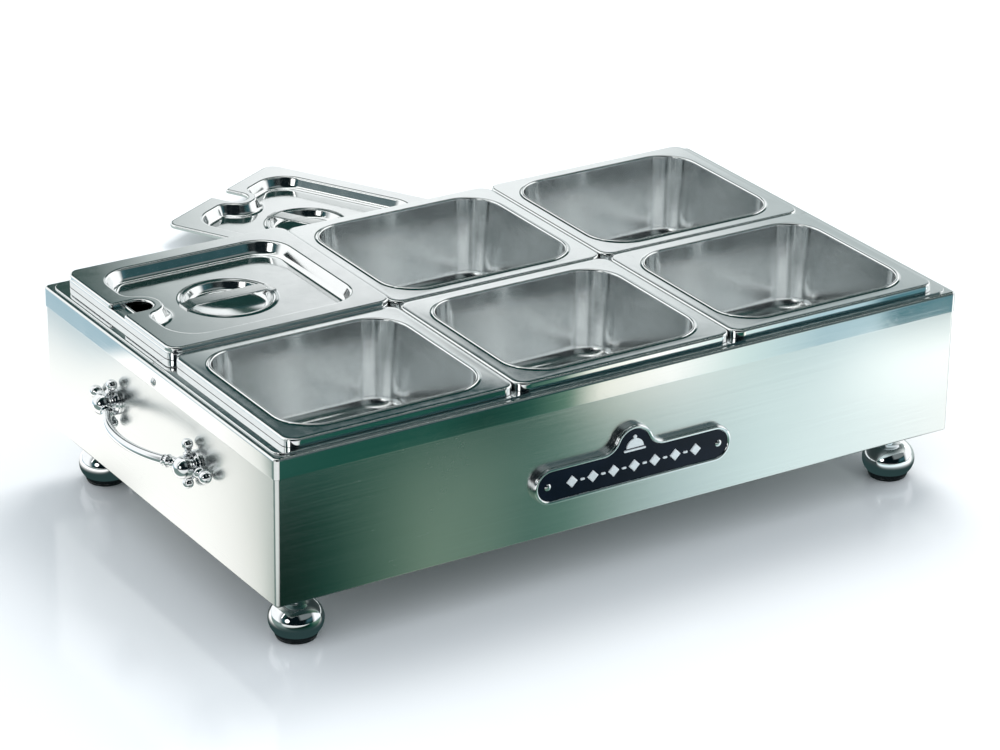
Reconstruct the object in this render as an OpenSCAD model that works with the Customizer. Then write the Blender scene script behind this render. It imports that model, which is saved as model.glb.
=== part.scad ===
// Electric buffet server: a low heated stainless case on four ball feet that holds
// six one-sixth gastronorm pans, with two pressed lids.
// Origin: centre of the case's footprint, on the table. +Z up, the guests' side is -Y.
// All sizes are in millimetres.

/* [Case] */
// Width of the collar, left to right
collar_w = 558; // [554:1:600]
// Depth of the collar, front to back
collar_d = 340; // [338:1:380]
// Height of the case from its underside to the collar's top
body_h = 108.5; // [104:0.5:125]
// Height of the collar's skirt
collar_h = 15; // [12:1:20]
// Thickness of the case's sheet
sheet = 1.2; // [1:0.1:1.5]

/* [Feet] */
// Height of the case's underside above the table
foot_h = 40; // [38:1:46]
// Largest radius of a ball foot
ball_r = 19.2; // [18:0.1:20]
// Left to right distance of a foot from the middle
foot_x = 248; // [244:1:250]
// Front to back distance of a foot from the middle
foot_y = 141; // [136:1:143]

/* [Pans] */
// Width of a one-sixth gastronorm pan over its rim
pan_w = 176; // [175:0.5:176]
// Depth of that rim, front to back
pan_d = 162; // [161:0.5:162]
// Gap between neighbouring rims
pan_gap = 1; // [0.8:0.1:1.5]
// How deep a pan hangs below its rim
pan_depth = 65; // [60:1:65]
// Height of a pan's turned-down rim
hem_h = 5.8; // [5:0.1:6]

/* [Lids] */
// Depth of a lid's recess
recess_h = 9.4; // [8:0.2:10]
// Radius of the finger dish under the strap handle
dish_r = 31; // [28:1:33]
// Width of the spoon notch
notch_w = 20; // [14:1:24]
// Turn of the lid that is set aside on the table
aside_turn = -61; // [-80:1:-40]

/* [Carrying handles] */
// Height of a handle's middle above the case's underside
handle_z = 61; // [58:1:64]
// Half the distance between a handle's two mounts
mount_y = 60; // [58:1:64]
// Radius of the bow's bar
bow_bar_r = 3.4; // [3:0.1:3.6]

/* [Name plate] */
// Length of the blank name plate
plate_w = 163; // [150:1:180]
// Height of the plate at its ends
plate_h = 28; // [26:1:30]

/* [Controls] */
// Left to right place of the thermostat
knob_x = 150; // [146:1:154]
// Radius of the thermostat knob
knob_r = 19; // [17:1:20]
// Left to right place of the mains switch
switch_x = 50; // [40:1:70]
// Left to right place of the pilot lamp
lamp_x = 98; // [92:1:104]
// Left to right place of the mains inlet
inlet_x = -180; // [-190:1:-150]

/* [Hidden] */
$fn = 48;
clear = 0.3;
eps = 0.01;

// Heights
collar_top = foot_h + body_h;
case_top = collar_top - 1;
deck_t = 1;
deck_top = collar_top + deck_t;
hem_bottom = deck_top + clear;
pan_top = hem_bottom + hem_h;
pan_bottom = pan_top - pan_depth;
well_floor = pan_bottom - 4.6;
base_bottom = foot_h + sheet;
base_top = base_bottom + sheet;
control_z = foot_h + 26;
element_z = well_floor - 1 - 4.3;
reflector_z = well_floor - 15.5;

// Case plan
case_w = collar_w - 2;
case_d = collar_d - 2;
case_r = 3;
wall_x = case_w / 2;
wall_y = case_d / 2;
inner_y = wall_y - sheet;
deck_w = collar_w - 8.6;
deck_d = collar_d - 8.6;
well_w = 3 * pan_w + 2 * pan_gap - 20;
well_d = 2 * pan_d + pan_gap - 20;

// Divider bars
bar_w = 16;
bar_h = 12;

// Pans
pitch_x = pan_w + pan_gap;
pitch_y = pan_d + pan_gap;
pan_t = 0.8;
rim_r = 10;
mouth_w = pan_w - 26;
mouth_d = pan_d - 26;
mouth_r = 27;
pan_taper = 4;
pan_fillet = 10;

// Lids
lid_t = 0.8;
lid_hem = 3;
lid_rest = pan_top + clear + lid_hem;
recess_w = pan_w - 30;
recess_d = pan_d - 30;
recess_r = 25;
recess_run = 3;
recess_fillet = 5;
dish_h = 9;
dish_run = 3;
dish_fillet = 6;
strap_w = 12;
strap_l = 2 * dish_r + 10;
strap_t = 1.2;
aside_pos = [112, 482, recess_h + dish_h + lid_t + 0.1];

// Handles
mount_x = wall_x + 10;
bow_reach = 17;
bow_half = mount_y - 8;
bow_r = (bow_half * bow_half + bow_reach * bow_reach) / (2 * bow_reach);
bow_angle = asin(bow_half / bow_r);
hz = foot_h + handle_z;

// Name plate
plate_t = 5.6;
plate_z = foot_h + 40;
hump_r = 16;
hump_blend = 12;
hump_z = plate_h / 2 + 0.6;
hump_x = sqrt(pow(hump_r + hump_blend, 2) - pow(plate_h / 2 + hump_blend - hump_z, 2));
stud_x = plate_w / 2 - 11;

// Places of the inlet's three contacts about its middle
pins = [[-7, -2], [7, -2], [0, 2]];

// Element
run_x = 190;
run_gap = 60;
bend_r = run_gap / 2;
sheath_r = 3.4;

// ---------- shared shapes ----------

// Rounded rectangle with true corner arcs
module rounded(w, d, r) {
    square([w - 2 * r, d], center = true);
    square([w, d - 2 * r], center = true);
    for (x = [-1, 1], y = [-1, 1]) translate([x * (w / 2 - r), y * (d / 2 - r)]) circle(r);
}

// Rounded slab standing on z
module slab(w, d, r, z, h) {
    translate([0, 0, z]) linear_extrude(h) rounded(w, d, r);
}

// Rounded ring standing on z, its wall t thick
module ring(w, d, r, t, z, h) {
    translate([0, 0, z]) linear_extrude(h) difference() {
        rounded(w, d, r);
        rounded(w - 2 * t, d - 2 * t, max(r - t, 0.2));
    }
}

// Sweep of a 2-D profile round a rounded rectangle; the profile's x counts out from the corner centres
module swept_rim(w, d, r) {
    for (q = [0:3]) {
        a = q % 2 == 0 ? w : d;
        b = q % 2 == 0 ? d : w;
        rotate([0, 0, 90 * q]) translate([a / 2 - r, b / 2 - r, 0]) {
            rotate([90, 0, 0]) linear_extrude(b - 2 * r) children();
            rotate_extrude(angle = 90) children();
        }
    }
}

// Points of an arc about (cx, cy)
function arc(cx, cy, r, from, to, steps) =
    [for (i = [0:steps]) let (a = from + (to - from) * i / steps) [cx + r * cos(a), cy + r * sin(a)]];

// Section of a pressed wall: from its mouth down, in by the run, and round the floor fillet
function pressed_wall(r, top, depth, run, fillet, t) = concat(
    [[r, top]],
    arc(r - run - fillet, top - depth + fillet, fillet, 0, -90, 6),
    arc(r - run - fillet, top - depth + fillet, fillet + t, -90, 0, 6),
    [[r + t, top]]);

// Copies at the four feet
module at_feet() {
    for (x = [-1, 1], y = [-1, 1]) translate([x * foot_x, y * foot_y, 0]) children();
}

// Round bar from p to q
module bar(p, q, r) {
    v = q - p;
    h = norm(v);
    translate(p) rotate([0, acos(v[2] / h), atan2(v[1], v[0])]) cylinder(h = h, r = r);
}

// Bar through a list of points, with ball joints at its bends
module bar_path(points, r) {
    for (i = [0:len(points) - 2]) bar(points[i], points[i + 1], r);
    for (i = [1:1:len(points) - 2]) translate(points[i]) sphere(r + 0.15);
}

// Hexagon nut with a washer, standing on z = 0
module nut(af, h, bore) {
    difference() {
        union() {
            translate([0, 0, 1]) cylinder(h = h, r = af / sqrt(3), $fn = 6);
            cylinder(h = 1, r = af * 0.72);
        }
        translate([0, 0, -1]) cylinder(h = h + 3, r = bore);
    }
}

// Cylinder that runs along +Y from y
module along_y(y, h, r) {
    translate([0, y, 0]) rotate([-90, 0, 0]) cylinder(h = h, r = r);
}

// ---------- case ----------

module casing_wrap() color("gainsboro") difference() {
    union() {
        ring(case_w, case_d, case_r, sheet, foot_h, case_top - foot_h);
        ring(case_w, case_d, case_r, 12, foot_h, sheet);
        ring(case_w, case_d, case_r, 9, case_top - sheet, sheet);
    }
    for (x = [-1, 1], y = [-1, 1])
        translate([x * wall_x, y * mount_y, hz]) rotate([0, 90, 0])
            cylinder(h = 8, r = 2.6, center = true);
    for (x = [-1, 1]) translate([x * wall_x, 0, collar_top - 10]) rotate([0, 90, 0])
        cylinder(h = 8, r = 2, center = true);
    for (x = [-1, 1]) translate([x * stud_x, 0, plate_z]) along_y(-wall_y - 3, 8, 1.6);
    translate([knob_x, 0, control_z]) along_y(wall_y - 4, 8, 5);
    translate([lamp_x, 0, control_z]) along_y(wall_y - 4, 8, 5.1);
    translate([switch_x, wall_y, control_z]) cube([22.4, 8, 30.4], center = true);
    translate([inlet_x, wall_y, control_z]) cube([27.4, 8, 20.4], center = true);
    for (x = [-20, 20]) translate([inlet_x + x, 0, control_z]) along_y(wall_y - 4, 8, 1.7);
    for (x = [-6, 6], y = [-1, 1])
        translate([x * 44, y * (wall_y - 6.5), foot_h - 1]) cylinder(h = 4, r = 1.9);
}

module top_collar() color("silver") difference() {
    union() {
        slab(collar_w, collar_d, 4, collar_top - collar_h, collar_h - 1.2);
        slab(collar_w - 0.8, collar_d - 0.8, 3.6, collar_top - 1.2, 0.6);
        slab(collar_w - 2, collar_d - 2, 3, collar_top - 0.6, 0.6);
    }
    slab(case_w + 0.2, case_d + 0.2, case_r + 0.1, collar_top - collar_h - 1, collar_h);
    slab(well_w + 6, well_d + 6, 10, collar_top - 3, 5);
    for (x = [-1, 1]) translate([x * wall_x, 0, collar_top - 10]) rotate([0, 90, 0])
        cylinder(h = 8, r = 2, center = true);
}

module base_plate() color("darkgray") difference() {
    slab(case_w - 2 * sheet - 0.6, case_d - 2 * sheet - 0.6, 1.6, base_bottom, sheet);
    at_feet() translate([0, 0, base_bottom - 1]) cylinder(h = 4, r = 4.1);
    for (x = [-6, 6], y = [-1, 1])
        translate([x * 44, y * (wall_y - 6.5), base_bottom - 1]) cylinder(h = 4, r = 1.9);
    for (s = [-1, 1], i = [0:7])
        translate([s * (70 + 14 * i), 120, base_bottom]) slot_cut(24, 3);
}

// Cooling slot through the base, long in Y
module slot_cut(l, w) {
    translate([0, 0, -1]) linear_extrude(4) rounded(w, l, w / 2 - eps);
}

module well_tray() color("lightsteelblue") difference() {
    union() {
        slab(deck_w, deck_d, 9, collar_top, deck_t);
        slab(well_w + 2, well_d + 2, 9, well_floor - 1, deck_top - well_floor + 1);
    }
    slab(well_w, well_d, 8, well_floor, 80);
    tab_gap(well_w, deck_w);
    mirror([1, 0, 0]) tab_gap(well_w, deck_w);
    for (x = [-1, 1], turn = [-90, 90])
        translate([x * pitch_x / 2, 0, 0]) rotate([0, 0, turn]) tab_gap(well_d, deck_d);
}

// Gap in the deck that a divider's end tab lies in, out along +X
module tab_gap(mouth, edge) {
    translate([mouth / 2 - 1, -8.2, collar_top - 0.1]) cube([(edge - mouth) / 2 + 2, 16.4, 2]);
}

// ---------- divider bars ----------

// Folded bar of length l along Y, with a tab of length tab at each end that is asked for
module divider(l, tab, low_tab, high_tab) {
    difference() {
        translate([-bar_w / 2, -l / 2, deck_top - bar_h]) cube([bar_w, l, bar_h]);
        translate([1 - bar_w / 2, -l / 2 - 1, deck_top - bar_h - 1]) cube([bar_w - 2, l + 2, bar_h]);
    }
    if (low_tab) translate([-bar_w / 2, -l / 2 - tab, deck_top - 0.8]) cube([bar_w, tab + 0.5, 0.8]);
    if (high_tab) translate([-bar_w / 2, l / 2 - 0.5, deck_top - 0.8]) cube([bar_w, tab + 0.5, 0.8]);
}

module cross_bar(side) color("silver") translate([side * pitch_x / 2, 0, 0])
    divider(well_d - 0.4, (deck_d - well_d) / 2, true, true);

module mid_bar(column) color("silver") {
    end = (pitch_x + bar_w) / 2 + 0.2;
    long = column == 0 ? pitch_x - bar_w - 0.4 : well_w / 2 - 0.2 - end;
    middle = column * (end + long / 2);
    translate([middle, 0, 0]) rotate([0, 0, -90])
        divider(long, (deck_w - well_w) / 2, column < 0, column > 0);
}

// Small angles on the well's walls that the bars' ends sit in
module bar_rests() color("gray") {
    z = deck_top - bar_h - 0.6;
    for (x = [-1, 1], y = [-1, 1])
        translate([x * pitch_x / 2, y * (well_d / 2 - 4), z]) cube([18, 8, 1], center = true);
    for (x = [-1, 1]) translate([x * (well_w / 2 - 4), 0, z]) cube([8, 18, 1], center = true);
}

// ---------- pans and lids ----------

module pan(column, row) color("silver") translate([column * pitch_x, row * pitch_y / 2, 0]) {
    swept_rim(pan_w, pan_d, rim_r)
        translate([rim_r - pan_t, hem_bottom]) square([pan_t, hem_h]);
    translate([0, 0, pan_top - pan_t]) linear_extrude(pan_t) difference() {
        rounded(pan_w, pan_d, rim_r);
        rounded(mouth_w, mouth_d, mouth_r);
    }
    swept_rim(mouth_w, mouth_d, mouth_r) {
        polygon(pressed_wall(mouth_r, pan_top, pan_depth - pan_t, pan_taper, pan_fillet, pan_t));
        translate([mouth_r + 1.4, pan_top - 0.4]) circle(1.4);
    }
    foot = pan_taper + pan_fillet;
    slab(mouth_w - 2 * foot, mouth_d - 2 * foot, mouth_r - foot, pan_bottom, pan_t);
}

// Lid about its own centre, its flange's top at z = 0, its notch towards -X
module lid() {
    foot = recess_run + recess_fillet;
    difference() {
        union() {
            swept_rim(pan_w, pan_d, rim_r)
                translate([rim_r - lid_t, -lid_hem]) square([lid_t, lid_hem]);
            translate([0, 0, -lid_t]) linear_extrude(lid_t) difference() {
                rounded(pan_w, pan_d, rim_r);
                rounded(recess_w, recess_d, recess_r);
            }
            swept_rim(recess_w, recess_d, recess_r)
                polygon(pressed_wall(recess_r, 0, recess_h, recess_run, recess_fillet, lid_t));
            translate([0, 0, -recess_h - lid_t]) linear_extrude(lid_t) difference() {
                rounded(recess_w - 2 * foot, recess_d - 2 * foot, recess_r - foot);
                circle(dish_r);
            }
        }
        translate([-pan_w / 2, 0, 0]) slot_outline(27);
    }
    rotate_extrude() polygon(pressed_wall(dish_r, -recess_h, dish_h, dish_run, dish_fillet, lid_t));
    translate([0, 0, -recess_h - dish_h - lid_t]) cylinder(h = lid_t, r = dish_r - dish_run - dish_fillet);
}

// Spoon notch, open towards -X and round at its inner end
module slot_outline(reach) {
    translate([0, 0, -20]) linear_extrude(30) {
        translate([-5, -notch_w / 2]) square([reach + 5 - notch_w / 2, notch_w]);
        translate([reach - notch_w / 2, 0]) circle(notch_w / 2);
    }
}

// Strap across the dish, its feet spot welded on the recess floor
module lid_strap() {
    rise = 1.6;
    foot_l = 5;
    span = strap_l / 2 - foot_l;
    half = [[span - 3, rise], [span, 0], [strap_l / 2, 0], [strap_l / 2, strap_t],
        [span + 0.5, strap_t], [span - 2.5, rise + strap_t]];
    rotate([90, 0, 0]) translate([0, -recess_h, -strap_w / 2]) linear_extrude(strap_w)
        polygon(concat(half, [for (i = [len(half) - 1:-1:0]) [-half[i][0], half[i][1]]]));
}

module on_pan() translate([-pitch_x, pitch_y / 2, lid_rest]) children();
module set_aside() translate(aside_pos) rotate([0, 0, aside_turn]) children();
module pan_lid() color("silver") on_pan() lid();
module pan_lid_handle() color("gainsboro") on_pan() lid_strap();
module aside_lid() color("silver") set_aside() lid();
module aside_lid_handle() color("gainsboro") set_aside() lid_strap();

// ---------- feet ----------

// Half section of the turned ball foot: squashed ball, waist, seat and threaded stud
module foot_ball(x, y) color("silver") translate([x * foot_x, y * foot_y, 0]) rotate_extrude() polygon(concat(
    [[0, 5.2]],
    [for (a = [-34:8:62]) [ball_r * cos(a), 14 + 15.5 * sin(a)]],
    [[8, 29.4], [7.4, 32], [9, 34.6], [13.5, 36.6], [14.6, 38.4], [14.6, base_bottom], [3.9, base_bottom],
     [3.9, base_bottom + 12], [0, base_bottom + 12]]));

module foot_pad(x, y) color("dimgray") translate([x * foot_x, y * foot_y, 0]) rotate_extrude() polygon(
    [[0, 0], [13.4, 0], [14.5, 1], [14.8, 5.2], [0, 5.2]]);

module foot_nuts() color("gray") at_feet() translate([0, 0, base_top]) nut(13, 6, 4);

// ---------- carrying handles ----------

module handle_bow(side) color("silver") difference() {
    translate([side * (mount_x + bow_reach - bow_r), 0, hz])
        rotate([0, 0, side > 0 ? -bow_angle : 180 - bow_angle]) {
        rotate_extrude(angle = 2 * bow_angle) translate([bow_r, 0]) circle(bow_bar_r);
        for (a = [5, 2 * bow_angle - 5]) rotate([0, 0, a]) translate([bow_r, 0, 0]) rotate([90, 0, 0])
            cylinder(h = 2.4, r = bow_bar_r + 1.5, center = true);
    }
    for (y = [-1, 1]) translate([side * mount_x, y * mount_y, hz]) sphere(8.2);
}

// Cast mount: rose, stem and boss, with three ball finials on arms
module handle_mount(side, y) color("gainsboro") translate([side * wall_x, y * mount_y, hz])
    rotate([0, side * 90, 0]) {
    cylinder(h = 2.2, r = 10);
    translate([0, 0, 2.2]) cylinder(h = 1.6, r1 = 9, r2 = 6.5);
    cylinder(h = 10, r = 5);
    translate([0, 0, 10]) sphere(8);
    translate([0, 0, -12]) cylinder(h = 12, r = 2.4);
    for (tip = [[0, 21, 4.6], [14.5, -4, 4], [-14.5, -4, 4]]) {
        end = [tip[0], y * tip[1], 5];
        bar([0, 0, 5], end, 2.6);
        translate([end[0] * 0.62, end[1] * 0.62, 5]) sphere(3.9);
        translate(end) sphere(tip[2]);
    }
}

module handle_nuts() color("gray") for (x = [-1, 1], y = [-1, 1])
    translate([x * (wall_x - sheet), y * mount_y, hz]) rotate([0, -x * 90, 0]) nut(8, 4, 2.5);

module collar_screws() color("gray") for (x = [-1, 1])
    translate([x * collar_w / 2, 0, collar_top - 10]) rotate([0, x * 90, 0]) {
        intersection() {
            translate([0, 0, -2.4]) sphere(4.1);
            cylinder(h = 4, r = 5);
        }
        translate([0, 0, -7]) cylinder(h = 7.4, r = 1.8);
    }

// ---------- blank name plate ----------

// Outline with a round hump, drawn in from its edge by e
module plate_outline(e) {
    rounded(plate_w - 2 * e, plate_h - 2 * e, plate_h / 2 - e - 0.1);
    difference() {
        union() {
            translate([0, hump_z]) circle(hump_r - e);
            translate([-hump_x, 0]) square([2 * hump_x, plate_h / 2 + 6.2 - e]);
        }
        for (s = [-1, 1]) translate([s * hump_x, plate_h / 2 + hump_blend]) circle(hump_blend + e);
        translate([-50, -60]) square([100, 60]);
    }
}

// Stands its child on the front wall, from y_out in front of it
module on_front(y_out, t) {
    translate([0, -wall_y - y_out + t, plate_z]) rotate([90, 0, 0]) linear_extrude(t) children();
}

module plate_body() color("silver") difference() {
    union() {
        on_front(plate_t - 1.2, plate_t - 1.2) plate_outline(0);
        on_front(plate_t, 1.3) plate_outline(0.8);
    }
    on_front(plate_t + 1, 2.6) plate_outline(3);
    for (x = [-1, 1]) translate([x * stud_x, 0, plate_z]) along_y(-wall_y - 8, 10, 1.6);
}

module plate_field() color("midnightblue") difference() {
    on_front(plate_t - 0.6, 1) plate_outline(3.1);
    for (x = [-1, 1]) translate([x * stud_x, 0, plate_z]) along_y(-wall_y - 8, 10, 1.7);
}

// Plain ornament: a row of lozenges between bars, and a domed dish cover in the hump
module plate_motif() color("silver") on_front(plate_t + 0.2, 0.75) {
    for (i = [-3:3]) translate([17 * i, 0]) rotate(45) square(6.4, center = true);
    for (i = [-3:2]) translate([17 * i + 8.5, 0]) square([3.4, 1.6], center = true);
    translate([0, 13.6]) {
        intersection() {
            circle(7);
            translate([-8, 0]) square([16, 9]);
        }
        translate([0, -1.6]) square([18, 1.4], center = true);
        translate([0, 8.1]) circle(1.4);
    }
}

module plate_studs() color("silver") for (x = [-1, 1]) translate([x * stud_x, 0, plate_z]) {
    along_y(-wall_y - plate_t + 0.6, plate_t + 8, 1.5);
    intersection() {
        translate([0, -wall_y - plate_t + 2, 0]) sphere(3.2);
        along_y(-wall_y - plate_t - 3, 3.6, 2.6);
    }
    translate([0, -inner_y, 0]) rotate([-90, 0, 0]) cylinder(h = 0.8, r = 5);
}

// ---------- controls at the back ----------

module control_knob() color("dimgray") translate([knob_x, 0, control_z]) difference() {
    union() {
        along_y(wall_y + 1, 2.6, knob_r);
        along_y(wall_y + 3, 14, knob_r - 4.5);
        for (a = [0:30:330]) rotate([0, a, 0]) translate([knob_r - 4.6, 0, 0]) along_y(wall_y + 3, 13, 1.3);
        translate([0, wall_y + 15.4, 8]) cube([3, 5, 12], center = true);
    }
    along_y(wall_y, 12.5, 3.05);
}

module thermostat_spindle() color("silver") translate([knob_x, 0, control_z]) along_y(inner_y - 5, 18.4, 3);

module thermostat() color("tan") translate([knob_x, 0, control_z]) difference() {
    union() {
        translate([-22, inner_y - 24, -17]) cube([44, 23.8, 34]);
        along_y(inner_y - 2, 3.6, 4.9);
        for (x = [-12, 12]) translate([x - 3, inner_y - 31, -6]) cube([6, 7.5, 0.8]);
    }
    along_y(inner_y - 6, 12, 3.05);
}

module sensing_bulb() color("darkgoldenrod") {
    bulb_z = well_floor - 4.4;
    bar([-45, 0, bulb_z], [45, 0, bulb_z], 3);
    low_z = reflector_z + 3;
    bar_path([[44, 0, bulb_z], [60, 0, low_z], [100, 20, low_z], [120, 118, low_z],
        [knob_x - 15, 130, control_z], [knob_x - 15, inner_y - 24, control_z]], 0.9);
}

module thermal_cutout() color("slategray") translate([0, 60, well_floor - 1]) {
    translate([0, 0, -9]) cylinder(h = 9, r = 8);
    for (x = [-3.5, 3.5]) translate([x - 1, -3, -12.5]) cube([2, 6, 3.6]);
}

module switch_housing() color("dimgray") translate([switch_x, 0, control_z]) difference() {
    union() {
        translate([-11, inner_y - 20, -15]) cube([22, 23, 30]);
        translate([-12.5, wall_y + 0.1, -17]) cube([25, 1.9, 34]);
    }
    rotate([0, 90, 0]) translate([0, wall_y + 1, 0]) cylinder(h = 18.6, r = 12.9, center = true);
    rotate([0, 90, 0]) translate([0, wall_y + 1, 0]) cylinder(h = 21, r = 1.55, center = true);
    for (z = [-8, 0, 8]) translate([-3, inner_y - 21, z - 0.5]) cube([6, 5, 1]);
}

// Rocker about its axle, tipped to its off side
module switch_rocker() color("firebrick") translate([switch_x, wall_y + 1, control_z]) {
    rotate([10, 0, 0]) intersection() {
        rotate([0, 90, 0]) cylinder(h = 18, r = 12.4, center = true);
        rotate([90, 0, -90]) translate([0, 0, -9]) linear_extrude(18)
            polygon([[5, -14], [-5.6, -14], [-3.2, 0], [-5.6, 14], [5, 14]]);
    }
    rotate([0, 90, 0]) cylinder(h = 20.6, r = 1.5, center = true);
}

module lamp_body() color("silver") translate([lamp_x, 0, control_z]) difference() {
    union() {
        along_y(wall_y - 22, 24, 5);
        along_y(wall_y, 2.4, 7);
        for (x = [-2.4, 2.4]) translate([x - 1.2, wall_y - 29, -0.4]) cube([2.4, 8, 0.8]);
    }
    along_y(wall_y - 8, 12, 4);
}

module lamp_lens() color("orange") translate([lamp_x, 0, control_z]) {
    along_y(wall_y - 7, 9.6, 3.9);
    intersection() {
        translate([0, wall_y - 0.2, 0]) sphere(5);
        along_y(wall_y + 2.45, 4, 4.6);
    }
}

module inlet_housing() color("dimgray") translate([inlet_x, 0, control_z]) difference() {
    union() {
        translate([0, wall_y + 3.1, 0]) rotate([90, 0, 0]) linear_extrude(3) rounded(50, 24, 5);
        translate([-13.5, inner_y - 22, -10]) cube([27, 25, 20]);
    }
    translate([0, wall_y + 4, 0]) rotate([90, 0, 0]) linear_extrude(17.5)
        polygon([[-12.2, -8.2], [12.2, -8.2], [12.2, 4.2], [8.2, 8.2], [-8.2, 8.2], [-12.2, 4.2]]);
    for (x = [-20, 20]) translate([x, 0, 0]) along_y(wall_y - 4, 12, 1.7);
    for (p = pins) translate([p[0], 0, p[1]]) pin_blade(0.05);
}

// One flat contact of the inlet, grown by e where its slot is cut
module pin_blade(e) {
    translate([-1 - e, inner_y - 34, -2 - e]) cube([2 + 2 * e, 33.4, 4 + 2 * e]);
}

module inlet_pins() color("goldenrod") for (p = pins)
    translate([inlet_x + p[0], 0, control_z + p[1]]) pin_blade(0);

module inlet_screws() color("silver") for (x = [-20, 20]) translate([inlet_x + x, 0, control_z]) {
    along_y(wall_y - 7, 11, 1.6);
    intersection() {
        translate([0, wall_y + 1.4, 0]) sphere(3.4);
        along_y(wall_y + 3.1, 3, 3);
    }
}

module terminal_block() color("ivory") translate([-110, 140, base_top]) difference() {
    translate([-30, -9, 0]) cube([60, 18, 16]);
    for (i = [-2:2]) translate([12 * i, 0, 5]) {
        cylinder(h = 12, r = 2.4);
        translate([0, -10, 4]) rotate([-90, 0, 0]) cylinder(h = 20, r = 1.8);
    }
}

module earth_stud() color("goldenrod") translate([-220, 130, base_top]) {
    cylinder(h = 14, r = 2.5);
    nut(8, 4, 2.4);
}

// ---------- heating ----------

module heater_element() color("darkslategray") translate([0, 0, element_z]) {
    rows = [1.5, 0.5, -0.5, -1.5] * run_gap;
    bar([-run_x, rows[0], 0], [run_x - 25, rows[0], 0], sheath_r);
    for (i = [1, 2]) bar([-run_x, rows[i], 0], [run_x, rows[i], 0], sheath_r);
    bar([-run_x, rows[3], 0], [run_x + 15, rows[3], 0], sheath_r);
    for (y = [run_gap, -run_gap]) translate([-run_x, y, 0]) rotate([0, 0, 90])
        rotate_extrude(angle = 180) translate([bend_r, 0]) circle(sheath_r);
    translate([run_x, 0, 0]) rotate([0, 0, -90])
        rotate_extrude(angle = 180) translate([bend_r, 0]) circle(sheath_r);
    translate([run_x - 25, rows[0] + bend_r, 0]) rotate([0, 0, -90])
        rotate_extrude(angle = 90) translate([bend_r, 0]) circle(sheath_r);
    translate([run_x + 15, rows[3] + bend_r, 0]) rotate([0, 0, -90])
        rotate_extrude(angle = 90) translate([bend_r, 0]) circle(sheath_r);
    bar([run_x + 15 + bend_r, rows[3] + bend_r, 0], [run_x + 15 + bend_r, 128, 0], sheath_r);
    bar([run_x - 25 + bend_r, rows[0] + bend_r, 0], [run_x - 25 + bend_r, 128, 0], sheath_r);
    for (x = [run_x - 25 + bend_r, run_x + 15 + bend_r]) translate([x, 0, 0]) along_y(128, 12, 1.8);
}

// Saddle clips that hold the element up to the well's floor
module element_clips() color("silver") for (x = [-120, 0, 120], y = [-1.5, -0.5, 0.5, 1.5] * run_gap)
    if (x != 0 || abs(y) > run_gap) translate([x, y, element_z]) rotate([90, 0, 90])
        translate([0, 0, -5]) linear_extrude(10) difference() {
            union() {
                circle(sheath_r + 1);
                translate([-sheath_r - 1, 0]) square([2 * sheath_r + 2, 4.3]);
                translate([-10, 3.3]) square([20, 1]);
            }
            circle(sheath_r + 0.1);
            translate([-sheath_r - 0.1, 0]) square([2 * sheath_r + 0.2, 6]);
        }

module heat_reflector() color("gainsboro") translate([0, -16, 0]) difference() {
    slab(490, 246, 4, reflector_z, 6);
    slab(488.8, 244.8, 3.4, reflector_z + 0.6, 10);
    translate([112, 118, reflector_z + 1]) cube([12, 10, 8]);
}

module insulation() color("khaki") translate([0, -16, 0])
    slab(468, 234, 3, base_top + 0.4, reflector_z - base_top - 0.6);

module wiring_loom() color("white") {
    trunk = [0, 158, base_top + 3.3];
    leg = run_x + 15 + bend_r;
    tap = [0, 20, 0];
    bar_path([trunk - [135, 0, 0], trunk + [215, 0, 0], [215, 158, element_z]], 3);
    for (x = [leg - 40, leg]) bar([215, 158, element_z], [x, 142, element_z], 1.6);
    for (branch = [[knob_x - 12, 7.8, 1.5, 0], [switch_x, 0, 1.4, 6.6], [lamp_x, 0, 1.1, 2]]) {
        at = [branch[0], 0, 0];
        up = [branch[0], 138, control_z - branch[1]];
        bar_path([trunk + at, trunk + at - tap, up, up + [0, branch[3] + 0.2, 0]], branch[2]);
    }
    bar_path([[inlet_x, 130, control_z - 2], [inlet_x, 128, base_top + 9], trunk - [135, 0, 0]], 2.2);
}

// ---------- assembly ----------

casing_wrap();
top_collar();
base_plate();
well_tray();
cross_bar(-1);  // cross_bar_left
cross_bar(1);  // cross_bar_right
mid_bar(-1);  // mid_bar_left
mid_bar(0);  // mid_bar_centre
mid_bar(1);  // mid_bar_right
bar_rests();
pan(-1, -1);  // pan_front_left
pan(0, -1);  // pan_front_centre
pan(1, -1);  // pan_front_right
pan(-1, 1);  // pan_back_left
pan(0, 1);  // pan_back_centre
pan(1, 1);  // pan_back_right
pan_lid();
pan_lid_handle();
aside_lid();
aside_lid_handle();
foot_ball(-1, -1);  // foot_ball_front_left
foot_ball(1, -1);  // foot_ball_front_right
foot_ball(-1, 1);  // foot_ball_back_left
foot_ball(1, 1);  // foot_ball_back_right
foot_pad(-1, -1);  // foot_pad_front_left
foot_pad(1, -1);  // foot_pad_front_right
foot_pad(-1, 1);  // foot_pad_back_left
foot_pad(1, 1);  // foot_pad_back_right
foot_nuts();
handle_bow(-1);  // handle_bow_left
handle_bow(1);  // handle_bow_right
handle_mount(-1, -1);  // handle_mount_left_front
handle_mount(-1, 1);  // handle_mount_left_back
handle_mount(1, -1);  // handle_mount_right_front
handle_mount(1, 1);  // handle_mount_right_back
handle_nuts();
collar_screws();
plate_body();
plate_field();
plate_motif();
plate_studs();
control_knob();
thermostat_spindle();
thermostat();
sensing_bulb();
thermal_cutout();
switch_housing();
switch_rocker();
lamp_body();
lamp_lens();
inlet_housing();
inlet_pins();
inlet_screws();
terminal_block();
earth_stud();
heater_element();
element_clips();
heat_reflector();
insulation();
wiring_loom();
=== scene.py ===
import math

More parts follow.
